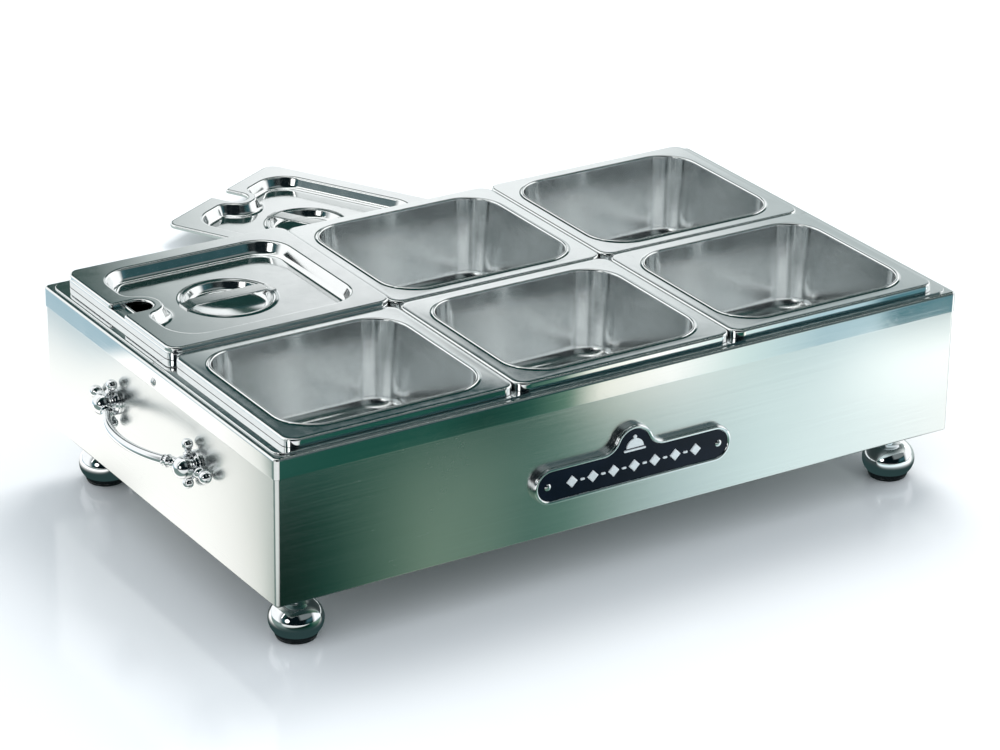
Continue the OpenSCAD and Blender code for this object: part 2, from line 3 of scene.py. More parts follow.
import bmesh
import bpy
from mathutils import Matrix, Vector


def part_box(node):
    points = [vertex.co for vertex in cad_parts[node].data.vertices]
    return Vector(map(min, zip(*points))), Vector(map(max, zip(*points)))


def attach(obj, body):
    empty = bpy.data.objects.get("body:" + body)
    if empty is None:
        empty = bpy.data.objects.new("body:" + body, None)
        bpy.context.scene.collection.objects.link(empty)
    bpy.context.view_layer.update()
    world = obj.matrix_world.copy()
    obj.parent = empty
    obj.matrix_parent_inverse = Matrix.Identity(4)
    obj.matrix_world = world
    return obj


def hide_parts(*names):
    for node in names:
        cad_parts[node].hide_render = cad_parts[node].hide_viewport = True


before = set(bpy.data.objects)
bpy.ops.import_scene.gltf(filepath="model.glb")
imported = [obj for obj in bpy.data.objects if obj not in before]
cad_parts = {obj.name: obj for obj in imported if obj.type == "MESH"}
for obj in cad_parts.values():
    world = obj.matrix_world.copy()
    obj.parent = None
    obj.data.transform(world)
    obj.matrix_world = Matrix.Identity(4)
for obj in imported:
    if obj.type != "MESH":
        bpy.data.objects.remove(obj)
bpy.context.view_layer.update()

MM = 0.001
TAU = 2 * math.pi
SHARP = math.radians(35)
scene = bpy.context.scene


# ---------- camera ----------

YAW, PITCH, ROLL = math.radians(32.4), math.radians(24.0), math.radians(0.84)
CAMERA_AT = Vector((-1.3623, -2.1469, 1.213))
SENSOR, LENS = 36, 138.9


def add_camera():
    """The photograph's viewpoint, solved from the pan grid and the case's corners."""
    forward = Vector((math.cos(PITCH) * math.sin(YAW), math.cos(PITCH) * math.cos(YAW), -math.sin(PITCH)))
    level = Vector((math.cos(YAW), -math.sin(YAW), 0))
    above = level.cross(forward)
    right = level * math.cos(ROLL) + above * math.sin(ROLL)
    up = above * math.cos(ROLL) - level * math.sin(ROLL)
    data = bpy.data.cameras.new("camera")
    data.sensor_width, data.lens = SENSOR, LENS
    data.clip_start, data.clip_end = 0.05, 60
    cam = bpy.data.objects.new("camera", data)
    scene.collection.objects.link(cam)
    turn = Matrix((right, up, -forward)).transposed()
    cam.matrix_world = Matrix.Translation(CAMERA_AT) @ turn.to_4x4()
    scene.camera = cam


add_camera()


# ---------- shape tools ----------

def fillet(path, steps=6):
    """A path with its corners rounded: a point is (x, y), or (x, y, radius)."""
    out, n = [], len(path)
    for i, p in enumerate(path):
        here, r = Vector(p[:2]), p[2] if len(p) > 2 else 0
        if not r:
            out.append(here)
            continue
        a = (Vector(path[i - 1][:2]) - here).normalized()
        b = (Vector(path[(i + 1) % n][:2]) - here).normalized()
        half = a.angle(b) / 2
        centre = here + (a + b).normalized() * (r / math.sin(half))
        start, end = here + a * (r / math.tan(half)) - centre, here + b * (r / math.tan(half)) - centre
        t0, t1 = math.atan2(start.y, start.x), math.atan2(end.y, end.x)
        turn = (t1 - t0 + math.pi) % TAU - math.pi
        out += [centre + r * Vector((math.cos(t0 + turn * k / steps), math.sin(t0 + turn * k / steps)))
                for k in range(steps + 1)]
    return out


def arc(x, y, r, start, end, steps, squash=1.0):
    """Points along a round about (x, y), from one angle in degrees to another."""
    return [(x + r * math.cos(t), y + r * squash * math.sin(t))
            for t in [math.radians(start + (end - start) * i / steps) for i in range(steps + 1)]]


def rounded(w, d, r, n=12):
    """Rounded rectangle, anticlockwise."""
    r = max(r, 0.2)
    return [((w / 2 - r) * sx + r * math.cos(t), (d / 2 - r) * sy + r * math.sin(t))
            for k, (sx, sy) in enumerate(((1, 1), (-1, 1), (-1, -1), (1, -1)))
            for t in [(k + i / n) * math.pi / 2 for i in range(n + 1)]]


def around(w, d, r, path, n=12):
    """Rings that follow a rounded rectangle: the path gives (outwards, z) in mm."""
    return [[(x, y, z) for x, y in rounded(w + 2 * o, d + 2 * o, r + o, n)] for o, z in path]


def turned(path, sides=48, flute=None):
    """Rings of a shape turned about Z: the path gives (radius, z) in mm, and flute(r, angle) adds to r."""
    rings = []
    for r, z in path:
        reach = [(r + flute(r, t) if flute else r, t) for t in [TAU * i / sides for i in range(sides)]]
        rings.append([(q * math.cos(t), q * math.sin(t), z) for q, t in reach])
    return rings


def shell(rings, low_cap=False, high_cap=False, closed=False):
    """A mesh skin over a stack of rings."""
    bm = bmesh.new()
    rows = [[bm.verts.new(Vector(p) * MM) for p in ring] for ring in rings]
    for a, b in list(zip(rows, rows[1:])) + ([(rows[-1], rows[0])] if closed else []):
        for i in range(len(a)):
            j = (i + 1) % len(a)
            bm.faces.new((a[i], a[j], b[j], b[i]))
    if low_cap:
        bm.faces.new(rows[0][::-1])
    if high_cap:
        bm.faces.new(rows[-1])
    return bm


def block(lo, hi, edge=0.0, steps=3):
    """Box between two corners in mm, its edges rounded."""
    bm = bmesh.new()
    bmesh.ops.create_cube(bm, size=1)
    lo, hi = Vector(lo), Vector(hi)
    for v in bm.verts:
        v.co = [(lo[k] + (v.co[k] + 0.5) * (hi[k] - lo[k])) * MM for k in range(3)]
    if edge:
        bmesh.ops.bevel(bm, geom=bm.edges[:], offset=edge * MM, segments=steps, profile=0.5, affect="EDGES")
    return bm


def prism(outline, z0, z1, edge=0.0, steps=3):
    """A flat outline in mm raised from z0 to z1, its upper edge rounded."""
    bm = bmesh.new()
    low = [bm.verts.new((x * MM, y * MM, z0 * MM)) for x, y in outline]
    high = [bm.verts.new((x * MM, y * MM, z1 * MM)) for x, y in outline]
    bm.faces.new(low[::-1])
    bm.faces.new(high)
    for i in range(len(low)):
        bm.faces.new((low[i], low[i - 1], high[i - 1], high[i])[::-1])
    if edge:
        rim = [e for e in bm.edges if all(v in high for v in e.verts)]
        bmesh.ops.bevel(bm, geom=rim, offset=edge * MM, segments=steps, profile=0.5, affect="EDGES")
    return bm


def shift(x, y, z):
    """Matrix that moves a shape to a place in mm."""
    return Matrix.Translation(Vector((x, y, z)) * MM)


def turn_to(axis, at):
    """Matrix that stands a shape made about Z along an axis, its origin at a place in mm."""
    return shift(*at) @ Vector(axis).to_track_quat("Z", "Y").to_matrix().to_4x4()


def placed(bm, matrix):
    bm.transform(matrix)
    return bm


def soften(bm, edge, angle=40, steps=2):
    """Rounds every edge sharper than an angle."""
    bm.normal_update()
    sharp = [e for e in bm.edges if len(e.link_faces) == 2 and e.calc_face_angle(0) > math.radians(angle)]
    bmesh.ops.bevel(bm, geom=sharp, offset=edge * MM, segments=steps, profile=0.5, affect="EDGES")
    return bm


def joined(*parts):
    """One mesh from several."""
    whole = bmesh.new()
    for part in parts:
        data = bpy.data.meshes.new("part")
        bmesh.ops.recalc_face_normals(part, faces=part.faces[:])
        part.to_mesh(data)
        part.free()
        whole.from_mesh(data)
        bpy.data.meshes.remove(data)
    return whole


def to_object(name, bm, outward=True):
    if outward:
        bmesh.ops.recalc_face_normals(bm, faces=bm.faces[:])
    data = bpy.data.meshes.new(name)
    bm.to_mesh(data)
    bm.free()
    obj = bpy.data.objects.new(name, data)
    scene.collection.objects.link(obj)
    return obj


def settle(obj):
    """Turns an object's modifiers into plain mesh."""
    graph = bpy.context.evaluated_depsgraph_get()
    data = bpy.data.meshes.new_from_object(obj.evaluated_get(graph))
    obj.modifiers.clear()
    old, obj.data = obj.data, data
    bpy.data.meshes.remove(old)
    data.name = obj.name


def boolean(obj, others, operation):
    """Adds other meshes to an object or cuts them out of it, one by one."""
    for n, bm in enumerate(others):
        tool = to_object(f"{obj.name}_tool{n}", bm)
        mod = obj.modifiers.new("cut", "BOOLEAN")
        mod.operation, mod.object, mod.solver = operation, tool, "EXACT"
        bpy.context.view_layer.update()
        settle(obj)
        bpy.data.objects.remove(tool)


def piece(name, bm, finish, body, nodes, cuts=(), unions=(), thick=0.0, outward=True):
    """A finished piece: sheet given its thickness, holes cut, smooth shading, finish, body and CAD nodes."""
    obj = to_object(name, bm, outward)
    if thick:
        mod = obj.modifiers.new("sheet", "SOLIDIFY")
        mod.thickness, mod.offset, mod.use_even_offset = thick * MM, -1, True
        bpy.context.view_layer.update()
        settle(obj)
    boolean(obj, unions, "UNION")
    boolean(obj, cuts, "DIFFERENCE")
    obj.data.shade_smooth()
    obj.data.set_sharp_from_angle(angle=SHARP)
    mod = obj.modifiers.new("normals", "WEIGHTED_NORMAL")
    mod.keep_sharp, mod.weight = True, 60
    obj.data.materials.clear()
    obj.data.materials.append(finish)
    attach(obj, body)
    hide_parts(*nodes)
    return obj


def span(node):
    """A CAD node's corners in mm."""
    lo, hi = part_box(node)
    return lo / MM, hi / MM


def middle(node):
    lo, hi = span(node)
    return (lo + hi) / 2


# ---------- finishes ----------

class Nodes:
    """Short names for building a shader."""

    def __init__(self, material):
        self.tree = material.node_tree
        self.bsdf = next(n for n in self.tree.nodes if n.type == "BSDF_PRINCIPLED")
        self.place = self.tree.nodes.new("ShaderNodeTexCoord").outputs["Object"]

    def link(self, a, b):
        self.tree.links.new(a, b)

    def noise(self, scale, detail=3.0, rough=0.5, warp=0.0):
        """Noise at a scale per metre: one number, or its own in x, y and z."""
        fit = self.tree.nodes.new("ShaderNodeMapping")
        fit.inputs["Scale"].default_value = scale if isinstance(scale, tuple) else (scale,) * 3
        self.link(self.place, fit.inputs["Vector"])
        n = self.tree.nodes.new("ShaderNodeTexNoise")
        n.inputs["Scale"].default_value, n.inputs["Detail"].default_value = 1.0, detail
        n.inputs["Roughness"].default_value, n.inputs["Distortion"].default_value = rough, warp
        self.link(fit.outputs["Vector"], n.inputs["Vector"])
        return n.outputs["Fac"]

    def spread(self, value, low, high, start=0.3, end=0.7, smooth=True):
        n = self.tree.nodes.new("ShaderNodeMapRange")
        n.interpolation_type = "SMOOTHSTEP" if smooth else "LINEAR"
        for key, v in (("From Min", start), ("From Max", end), ("To Min", low), ("To Max", high)):
            n.inputs[key].default_value = v
        self.link(value, n.inputs["Value"])
        return n.outputs["Result"]

    def maths(self, operation, a, b):
        n = self.tree.nodes.new("ShaderNodeMath")
        n.operation = operation
        for k, v in enumerate((a, b)):
            if isinstance(v, (int, float)):
                n.inputs[k].default_value = v
            else:
                self.link(v, n.inputs[k])
        return n.outputs[0]

    def blend(self, value, dark, light):
        """Mixes two colours: dark where the value is nought, light where it is one."""
        n = self.tree.nodes.new("ShaderNodeMix")
        n.data_type = "RGBA"
        self.link(value, n.inputs[0])
        for socket, colour in ((n.inputs[6], dark), (n.inputs[7], light)):
            if isinstance(colour, tuple):
                socket.default_value = (*colour, 1)
            else:
                self.link(colour, socket)
        return n.outputs[2]

    def bump(self, height, strength, depth, over=None):
        """Surface relief, laid over an earlier one if given."""
        n = self.tree.nodes.new("ShaderNodeBump")
        n.inputs["Strength"].default_value, n.inputs["Distance"].default_value = strength, depth * MM
        self.link(height, n.inputs["Height"])
        if over:
            self.link(over.outputs["Normal"], n.inputs["Normal"])
        self.link(n.outputs["Normal"], self.bsdf.inputs["Normal"])
        return n

    def part(self, axis):
        n = self.tree.nodes.new("ShaderNodeSeparateXYZ")
        self.link(self.place, n.inputs[0])
        return n.outputs[axis]


def new_material(slot):
    mat = bpy.data.materials.new(slot)
    mat.use_nodes = True
    mat["slot"] = slot
    return mat, Nodes(mat)


# Noise scales per metre: handling marks, a sheet's slow waviness, a moulding's patches.
MARKS, SWELL, PATCHES = 90, 11, 30


def shade(colour, k):
    return tuple(min(1.0, c * k) for c in colour)


def metal(slot, colour, low, high, grain, cloud, tint, bump, depth, along=0.0, dust=0.0, wave=0.0,
          satin=None, metallic=1.0):
    """Metal: grain lines or an even grain, cloudy gloss and tint, handling marks and a slow waviness.

    Satin gives (low z, high z, extra roughness beneath them) for a piece that is duller inside."""
    mat, n = new_material(slot)
    n.bsdf.inputs["Metallic"].default_value = metallic
    lines = n.noise(grain, 4, 0.6)
    clouds = n.noise(cloud, 3, 0.5, 0.6)
    marks = n.noise(MARKS, 6, 0.7, 1.5)
    both = n.maths("ADD", n.maths("MULTIPLY", lines, 0.6), n.maths("MULTIPLY", clouds, 0.4))
    tinted = n.blend(n.spread(both, 0, 1), shade(colour, 1 - tint), shade(colour, 1 + tint))
    n.link(tinted, n.bsdf.inputs["Base Color"])
    rough = n.spread(both, low, high)
    if dust:
        rough = n.maths("ADD", rough, n.spread(marks, 0, dust, 0.52, 0.68))
    if satin:
        rough = n.maths("ADD", rough, n.spread(n.part(2), satin[2], 0, satin[0], satin[1]))
    n.link(rough, n.bsdf.inputs["Roughness"])
    sheet = n.bump(n.noise(SWELL, 1, 0.4), 1.0, wave) if wave else None
    n.bump(lines, bump, depth, sheet)
    if along:
        n.bsdf.inputs["Anisotropic"].default_value = along
        n.bsdf.inputs["Anisotropic Rotation"].default_value = 0.25
        tangent = n.tree.nodes.new("ShaderNodeTangent")
        tangent.direction_type, tangent.axis = "RADIAL", "Z"
        n.link(tangent.outputs[0], n.bsdf.inputs["Tangent"])
    return mat


def plastic(slot, colour, low, high, grain, bump, depth, clear=0.0, specular=0.5):
    """Moulded plastic, rubber, enamel or ceramic with a fine surface texture."""
    mat, n = new_material(slot)
    fine = n.noise(grain, 3, 0.6)
    clouds = n.noise(PATCHES, 4, 0.55, 0.8)
    tinted = n.blend(n.spread(clouds, 0, 1), shade(colour, 0.82), shade(colour, 1.2))
    n.link(tinted, n.bsdf.inputs["Base Color"])
    both = n.maths("ADD", n.maths("MULTIPLY", fine, 0.5), n.maths("MULTIPLY", clouds, 0.5))
    n.link(n.spread(both, low, high), n.bsdf.inputs["Roughness"])
    n.bump(fine, bump, depth)
    n.bsdf.inputs["Specular IOR Level"].default_value = specular
    if clear:
        n.bsdf.inputs["Coat Weight"].default_value = clear
        n.bsdf.inputs["Coat Roughness"].default_value = 0.06
    return mat


BRIGHT, POLISHED = (0.82, 0.84, 0.845), (0.8, 0.82, 0.84)
CASING = metal("casing_steel", (0.72, 0.745, 0.735), 0.19, 0.27, (9, 9, 1500), 10, 0.04, 0.05, 0.01,
               along=0.4, dust=0.012, wave=0.1)
COLLAR = metal("collar_steel", (0.76, 0.785, 0.785), 0.07, 0.12, (9, 9, 1700), 12, 0.03, 0.03, 0.01,
               along=0.4, dust=0.03, wave=0.06)
DECK = metal("deck_steel", BRIGHT, 0.05, 0.1, (9, 900, 900), 14, 0.03, 0.03, 0.01, dust=0.03, wave=0.08)
PAN = metal("pan_steel", (0.8, 0.825, 0.83), 0.06, 0.1, 120, 16, 0.03, 0.02, 0.02, dust=0.02, wave=0.14,
            satin=(0.136, 0.153, 0.13))
LID = metal("lid_steel", BRIGHT, 0.08, 0.12, 110, 16, 0.03, 0.02, 0.02, dust=0.01, wave=0.12)
STRAP = metal("strap_steel", (0.84, 0.85, 0.85), 0.14, 0.24, (30, 900, 900), 20, 0.04, 0.08, 0.01)
CHROME = metal("foot_chrome", POLISHED, 0.02, 0.06, 160, 40, 0.02, 0.01, 0.01, dust=0.04)
HANDLE = metal("handle_chrome", POLISHED, 0.04, 0.09, 160, 40, 0.02, 0.02, 0.01, dust=0.05)
PLATE = metal("plate_chrome", (0.86, 0.88, 0.9), 0.09, 0.16, 200, 40, 0.03, 0.05, 0.03, dust=0.04)
ORNAMENT = metal("plate_chrome", (0.86, 0.9, 0.93), 0.3, 0.42, 300, 60, 0.03, 0.05, 0.02, metallic=0.3)
FIXING = metal("fixing_steel", (0.62, 0.64, 0.65), 0.14, 0.26, 400, 60, 0.08, 0.08, 0.02)
BASE = metal("base_steel", (0.66, 0.68, 0.68), 0.32, 0.46, (700, 9, 700), 12, 0.06, 0.08, 0.01)
REFLECTOR = metal("reflector_foil", (0.86, 0.87, 0.88), 0.16, 0.28, 200, 30, 0.04, 0.1, 0.05)
BRASS = metal("contact_brass", (0.78, 0.7, 0.48), 0.18, 0.3, 300, 60, 0.06, 0.05, 0.02)
COPPER = metal("copper_tube", (0.72, 0.42, 0.26), 0.2, 0.34, 300, 60, 0.1, 0.05, 0.02)
RUBBER = plastic("foot_rubber", (0.012, 0.014, 0.016), 0.14, 0.28, 1400, 0.12, 0.04)
ENAMEL = plastic("plate_enamel", (0.004, 0.007, 0.016), 0.12, 0.22, 500, 0.08, 0.03,
                 clear=0.12, specular=0.15)
KNOB = plastic("knob_black", (0.02, 0.02, 0.022), 0.3, 0.45, 1800, 0.2, 0.04)
CONTROL = plastic("control_black", (0.024, 0.024, 0.026), 0.42, 0.58, 2200, 0.35, 0.05)
ROCKER = plastic("rocker_red", (0.5, 0.015, 0.012), 0.14, 0.24, 700, 0.05, 0.02, clear=0.5)
AMBER = plastic("lamp_amber", (0.9, 0.34, 0.03), 0.08, 0.16, 600, 0.05, 0.02, clear=0.7)
CERAMIC = plastic("ceramic_cream", (0.7, 0.64, 0.52), 0.45, 0.65, 1100, 0.25, 0.05)
SHEATH = plastic("element_sheath", (0.1, 0.105, 0.1), 0.42, 0.62, 1200, 0.4, 0.06)
BLANKET = plastic("fibre_blanket", (0.74, 0.7, 0.56), 0.8, 0.95, 420, 0.9, 0.5)
SLEEVE = plastic("wire_sleeve", (0.8, 0.79, 0.75), 0.5, 0.7, 1600, 0.5, 0.08)


# ---------- case ----------

SERVER = "server"
lo, hi = span("top_collar")
COLLAR_W, COLLAR_D, COLLAR_TOP, COLLAR_LOW = hi.x - lo.x, hi.y - lo.y, hi.z, lo.z
lo, hi = span("casing_wrap")
CASE_W, CASE_D, CASE_LOW, CASE_TOP = hi.x - lo.x, hi.y - lo.y, lo.z, hi.z
lo, hi = span("well_tray")
DECK_W, DECK_D, DECK_TOP, WELL_LOW = hi.x - lo.x, hi.y - lo.y, hi.z, lo.z
WALL_X, WALL_Y = CASE_W / 2, CASE_D / 2
MOUNT_Y, MOUNT_Z = 60, middle("handle_bow_left").z
KNOB_AT, SWITCH_AT = middle("thermostat_spindle"), middle("switch_housing")
LAMP_AT, INLET_AT = middle("lamp_body"), middle("inlet_pins")
CONTROL_Z = KNOB_AT.z
PLATE_Z = middle("plate_studs").z
PLATE_W = 2 * span("plate_body")[1].x
STUD_X = span("plate_studs")[1].x - 5
SCREW_Z = middle("collar_screws").z
WELL_W, WELL_D, WELL_R = 510, 305, 8
BAR_X = middle("cross_bar_right").x
CASE_SHEET, TOP_SHEET, PAN_SHEET = 1.2, 0.9, 0.8
TAB_GAP = 8.2
INLET_SCREWS = (-20, 20)
SCREW_HOLE = 1.7


def rod(axis, at, r, length, sides=32):
    """Straight round cutter or bar, centred on a place in mm."""
    return placed(shell(turned([(r, -length / 2), (r, length / 2)], sides), True, True), turn_to(axis, at))


def build_case():
    """Folded wrap of four walls, with the holes for everything fixed to it."""
    wrap = fillet([(-12, CASE_LOW), (0, CASE_LOW, 1.6), (0, CASE_TOP, 1.2), (-9, CASE_TOP)])
    holes = [(KNOB_AT.x, 5), (LAMP_AT.x, 5.1)] + [(INLET_AT.x + x, SCREW_HOLE) for x in INLET_SCREWS]
    back = [rod((0, 1, 0), (x, WALL_Y, CONTROL_Z), r, 8) for x, r in holes]
    windows = [block((x - w, WALL_Y - 4, CONTROL_Z - h), (x + w, WALL_Y + 4, CONTROL_Z + h))
               for x, w, h in ((SWITCH_AT.x, 11.2, 15.2), (INLET_AT.x, 13.7, 10.2))]
    front = [rod((0, 1, 0), (x, -WALL_Y, PLATE_Z), 1.6, 8) for x in (-STUD_X, STUD_X)]
    ends = [rod((1, 0, 0), (s * WALL_X, y, z), r, 10) for s in (-1, 1)
            for y, z, r in ((-MOUNT_Y, MOUNT_Z, 2.6), (MOUNT_Y, MOUNT_Z, 2.6), (0, SCREW_Z, 2))]
    piece("case_walls", shell(around(CASE_W, CASE_D, 3, wrap)), CASING, SERVER, ["casing_wrap"],
          thick=CASE_SHEET, cuts=back + windows + front + ends, outward=False)


def build_collar():
    """Folded frame round the top of the case, a little proud of its walls."""
    under = COLLAR_TOP - TOP_SHEET
    skirt = fillet([(-3, COLLAR_TOP), (0, COLLAR_TOP, 1.9), (0, COLLAR_LOW, 0.35),
                    (-TOP_SHEET, COLLAR_LOW, 0.35), (-TOP_SHEET, under, 0.9), (-4, under)])
    mouth = around(WELL_W + 6, WELL_D + 6, 10, [(0, COLLAR_TOP), (0, under)])
    rings = [mouth[0]] + around(COLLAR_W, COLLAR_D, 4, skirt) + [mouth[1]]
    piece("case_collar", shell(rings, closed=True), COLLAR, SERVER, ["top_collar"],
          cuts=[rod((1, 0, 0), (s * WALL_X, 0, SCREW_Z), 2, 10) for s in (-1, 1)])


def build_well():
    """Deck round the pans and the well beneath it, with gaps in the deck's edge for the bars' tabs."""
    under = fillet([(-8, WELL_LOW), (1, WELL_LOW, 5), (1, COLLAR_TOP, 0.4), (4, COLLAR_TOP)])
    edge = fillet([(-3, COLLAR_TOP), (0, COLLAR_TOP, 0.4), (0, DECK_TOP, 0.5), (-3, DECK_TOP)])
    well = fillet([(4, DECK_TOP), (0, DECK_TOP, 1.8), (0, WELL_LOW + 1, 4), (-8, WELL_LOW + 1)])
    rings = (around(WELL_W, WELL_D, WELL_R, under) + around(DECK_W, DECK_D, 9, edge)
             + around(WELL_W, WELL_D, WELL_R, well))
    low, high = COLLAR_TOP - 0.1, DECK_TOP + 1
    across = [sorted((s * (WELL_W / 2 - 1), s * (COLLAR_W / 2 - 2))) for s in (-1, 1)]
    deep = [sorted((s * (WELL_D / 2 - 1), s * (COLLAR_D / 2 - 1))) for s in (-1, 1)]
    gaps = [block((a, -TAB_GAP, low), (b, TAB_GAP, high)) for a, b in across]
    gaps += [block((x - TAB_GAP, a, low), (x + TAB_GAP, b, high)) for x in (-BAR_X, BAR_X) for a, b in deep]
    piece("deck_and_well", shell(rings, True, True), DECK, SERVER, ["well_tray"], cuts=gaps)


def build_dividers():
    """Folded bars between the pans, with flat tabs that lie in the deck."""
    half, inside, deep = 8, 8 - TOP_SHEET, 12
    section = fillet([(-half, -deep), (-half, 0, 1.5), (half, 0, 1.5), (half, -deep),
                      (inside, -deep), (inside, -TOP_SHEET, 0.6), (-inside, -TOP_SHEET, 0.6),
                      (-inside, -deep)], steps=4)
    upright = Matrix.Rotation(math.pi / 2, 4, "X")
    for node in ("cross_bar_left", "cross_bar_right", "mid_bar_left", "mid_bar_centre", "mid_bar_right"):
        low, high = span(node)
        crossing = node.startswith("cross")
        k = 1 if crossing else 0
        reach = WELL_D / 2 - 0.2 if crossing else WELL_W / 2 - 0.2
        start, end = max(low[k], -reach), min(high[k], reach)
        across = (low[1 - k] + high[1 - k]) / 2
        bar = placed(prism(section, -(end - start) / 2, (end - start) / 2), upright)
        if not crossing:
            bar.transform(Matrix.Rotation(math.pi / 2, 4, "Z"))
        at = (across, (start + end) / 2) if crossing else ((start + end) / 2, across)
        placed(bar, shift(*at, DECK_TOP))
        tabs = []
        for inner, outer in ((start, low[k]), (end, high[k])):
            if abs(outer - inner) > 1:
                a, b = sorted((inner - math.copysign(2, inner), outer))
                c = (across - half, a) if crossing else (a, across - half)
                e = (across + half, b) if crossing else (b, across + half)
                tabs.append(block((*c, DECK_TOP - 0.8), (*e, DECK_TOP - 0.01)))
        piece(node + "_fold", bar, DECK, SERVER, [node], unions=tabs)


# ---------- pans ----------

BEAD_RISE, HEM_DROP, PAN_CORNER = 1, 6.8, 10


def build_pans():
    """Six pressed pans, each with a turned-down rim and a raised bead round its mouth."""
    for row in ("front", "back"):
        for column in ("left", "centre", "right"):
            node = f"pan_{row}_{column}"
            low, high = span(node)
            centre, size = (low + high) / 2, high - low
            top, floor, hem = high.z - BEAD_RISE, low.z + PAN_SHEET, high.z - HEM_DROP
            rim = fillet([(0, hem), (0, top, 1.7), (-4, top)])
            bead = [(4.4, top), (3.4, top + 0.06)] + arc(1.4, top - 0.4, 1.4, 30, 165, 9)
            wall = fillet([(0, top - 0.5), (0, top - 0.6), (-4.6, floor, 10), (-18, floor)], steps=9)[1:]
            rings = around(size.x, size.y, PAN_CORNER, rim)
            rings += around(size.x - 26, size.y - 26, 27, bead + wall)
            bm = placed(shell(rings, high_cap=True), shift(centre.x, centre.y, 0))
            piece(node + "_pressing", bm, PAN, node + "_body", [node], thick=PAN_SHEET, outward=False)


# ---------- lids ----------

def notched(w, d, r, half, tip, blend, e):
    """Rounded rectangle with a round-ended notch from its -X side, all drawn in by e."""
    n, m = 12, 8
    w, d, r = w - 2 * e, d - 2 * e, max(r - e, 0.3)
    half, tip, blend = half + e, tip + e, max(blend - e, 0.3)
    points, side, lean = [], half + blend, 90
    if blend - w / 2 > tip - half:
        lean = math.degrees(math.acos((blend - w / 2 - tip + half) / (half + blend)))
        side *= math.sin(math.radians(lean))
    for x, y, radius, a, b, steps in (
            (w / 2 - r, d / 2 - r, r, 0, 90, n), (r - w / 2, d / 2 - r, r, 90, 180, n),
            (blend - w / 2, side, blend, 180, 180 + lean, m), (tip - half, 0, half, lean, -lean, 2 * m),
            (blend - w / 2, -side, blend, 180 - lean, 180, m), (r - w / 2, r - d / 2, r, 180, 270, n),
            (w / 2 - r, r - d / 2, r, 270, 360, n)):
        points += arc(x, y, radius, a, b, steps)
    return points


RECESS_H, DISH_H, DISH_CURVE, DISH_SIDES = 9.4, 9.0, 0.0042, 72
ASIDE_TURN = math.radians(-61)


def lid_mesh(w, d):
    """A pressed lid about its own centre, its flange's top at z = 0 and its notch towards -X."""
    flange = fillet([(0, -3), (0, 0, 1.5), (2.4, 0)])
    recess = fillet([(-1.6, 0), (0.4, 0, 2.4), (4.6, -RECESS_H, 4.6), (9.4, -RECESS_H),
                     (10.4, -RECESS_H)], steps=10)
    rings = [[(x, y, z) for x, y in notched(w, d, r=10, half=10, tip=-61, blend=3, e=e)] for e, z in flange]
    rings += [[(x, y, z) for x, y in notched(w - 30, d - 30, r=25, half=16, tip=-54, blend=10.5, e=e)]
              for e, z in recess]
    bm = shell(rings)
    rim = [(38, 0), (37, 0), (36.2, 0), (35.4, 0.1), (34.7, 0.42), (34, 0.6), (33.3, 0.42), (32.7, 0.08),
           (32.2, 0)]
    bowl = [(r, DISH_CURVE * r * r - DISH_H) for r in (26, 24, 20, 16, 12, 8, 4, 1)]
    dish = rim + fillet([(32.2, 0), (31, 0, 0.9), (28.4, -5.6, 4)] + bowl[:2], steps=8)[1:] + bowl[2:]
    inner = shell(turned([(r, z - RECESS_H) for r, z in dish], DISH_SIDES), high_cap=True)
    data = bpy.data.meshes.new("dish")
    inner.to_mesh(data)
    count = len(bm.verts)
    bm.from_mesh(data)
    inner.free()
    bpy.data.meshes.remove(data)
    bm.verts.ensure_lookup_table()
    loops = [bm.verts[count - len(rings[0]):count], bm.verts[count:count + DISH_SIDES]]
    edges = [bm.edges.get((loop[i - 1], loop[i])) for loop in loops for i in range(len(loop))]
    for f in bmesh.ops.triangle_fill(bm, edges=edges, use_beauty=True)["geom"]:
        if isinstance(f, bmesh.types.BMFace):
            f.normal_update()
            if f.normal.z < 0:
                f.normal_flip()
    return bm


def strap_mesh():
    """Strap across the finger dish, its feet spot welded on the recess floor."""
    half = [(27.6, 1.5), (31, 0), (36, 0), (36, 1.2), (31.4, 1.2), (28.2, 2.8)]
    outline = half + [(-x, z) for x, z in half[::-1]]
    bm = prism(outline, -6, 6)
    soften(bm, 0.35, 50)
    return placed(bm, shift(0, 0, -RECESS_H) @ Matrix.Rotation(math.pi / 2, 4, "X"))


def build_lids():
    """The lid on the back left pan and its twin on the table, each with its strap."""
    low, high = span("pan_lid")
    w, d = high.x - low.x - 0.06, high.y - low.y - 0.06
    seat, aside = middle("pan_lid"), middle("aside_lid_handle")
    on_table = shift(aside.x, aside.y, span("aside_lid")[1].z) @ Matrix.Rotation(ASIDE_TURN, 4, "Z")
    for node, at in (("pan_lid", shift(seat.x, seat.y, high.z)), ("aside_lid", on_table)):
        piece(node + "_pressing", placed(lid_mesh(w, d), at), LID, node + "_body", [node],
              thick=PAN_SHEET, outward=False)
        piece(node + "_strap", placed(strap_mesh(), at), STRAP, node + "_body", [node + "_handle"])


# ---------- feet ----------

def curve(points, steps=5):
    """Smooth path through points."""
    ends = [points[0]] + list(points) + [points[-1]]
    out = []
    for a, b, c, d in zip(ends, ends[1:], ends[2:], ends[3:]):
        a, b, c, d = map(Vector, (a, b, c, d))
        for k in range(steps):
            t = k / steps
            bend, twist = 2 * a - 5 * b + 4 * c - d, 3 * b - a - 3 * c + d
            out.append(0.5 * (2 * b + (c - a) * t + bend * t * t + twist * t ** 3))
    return out + [Vector(points[-1])]


PAD_TOP, FOOT_SIDES = 5.2, 64


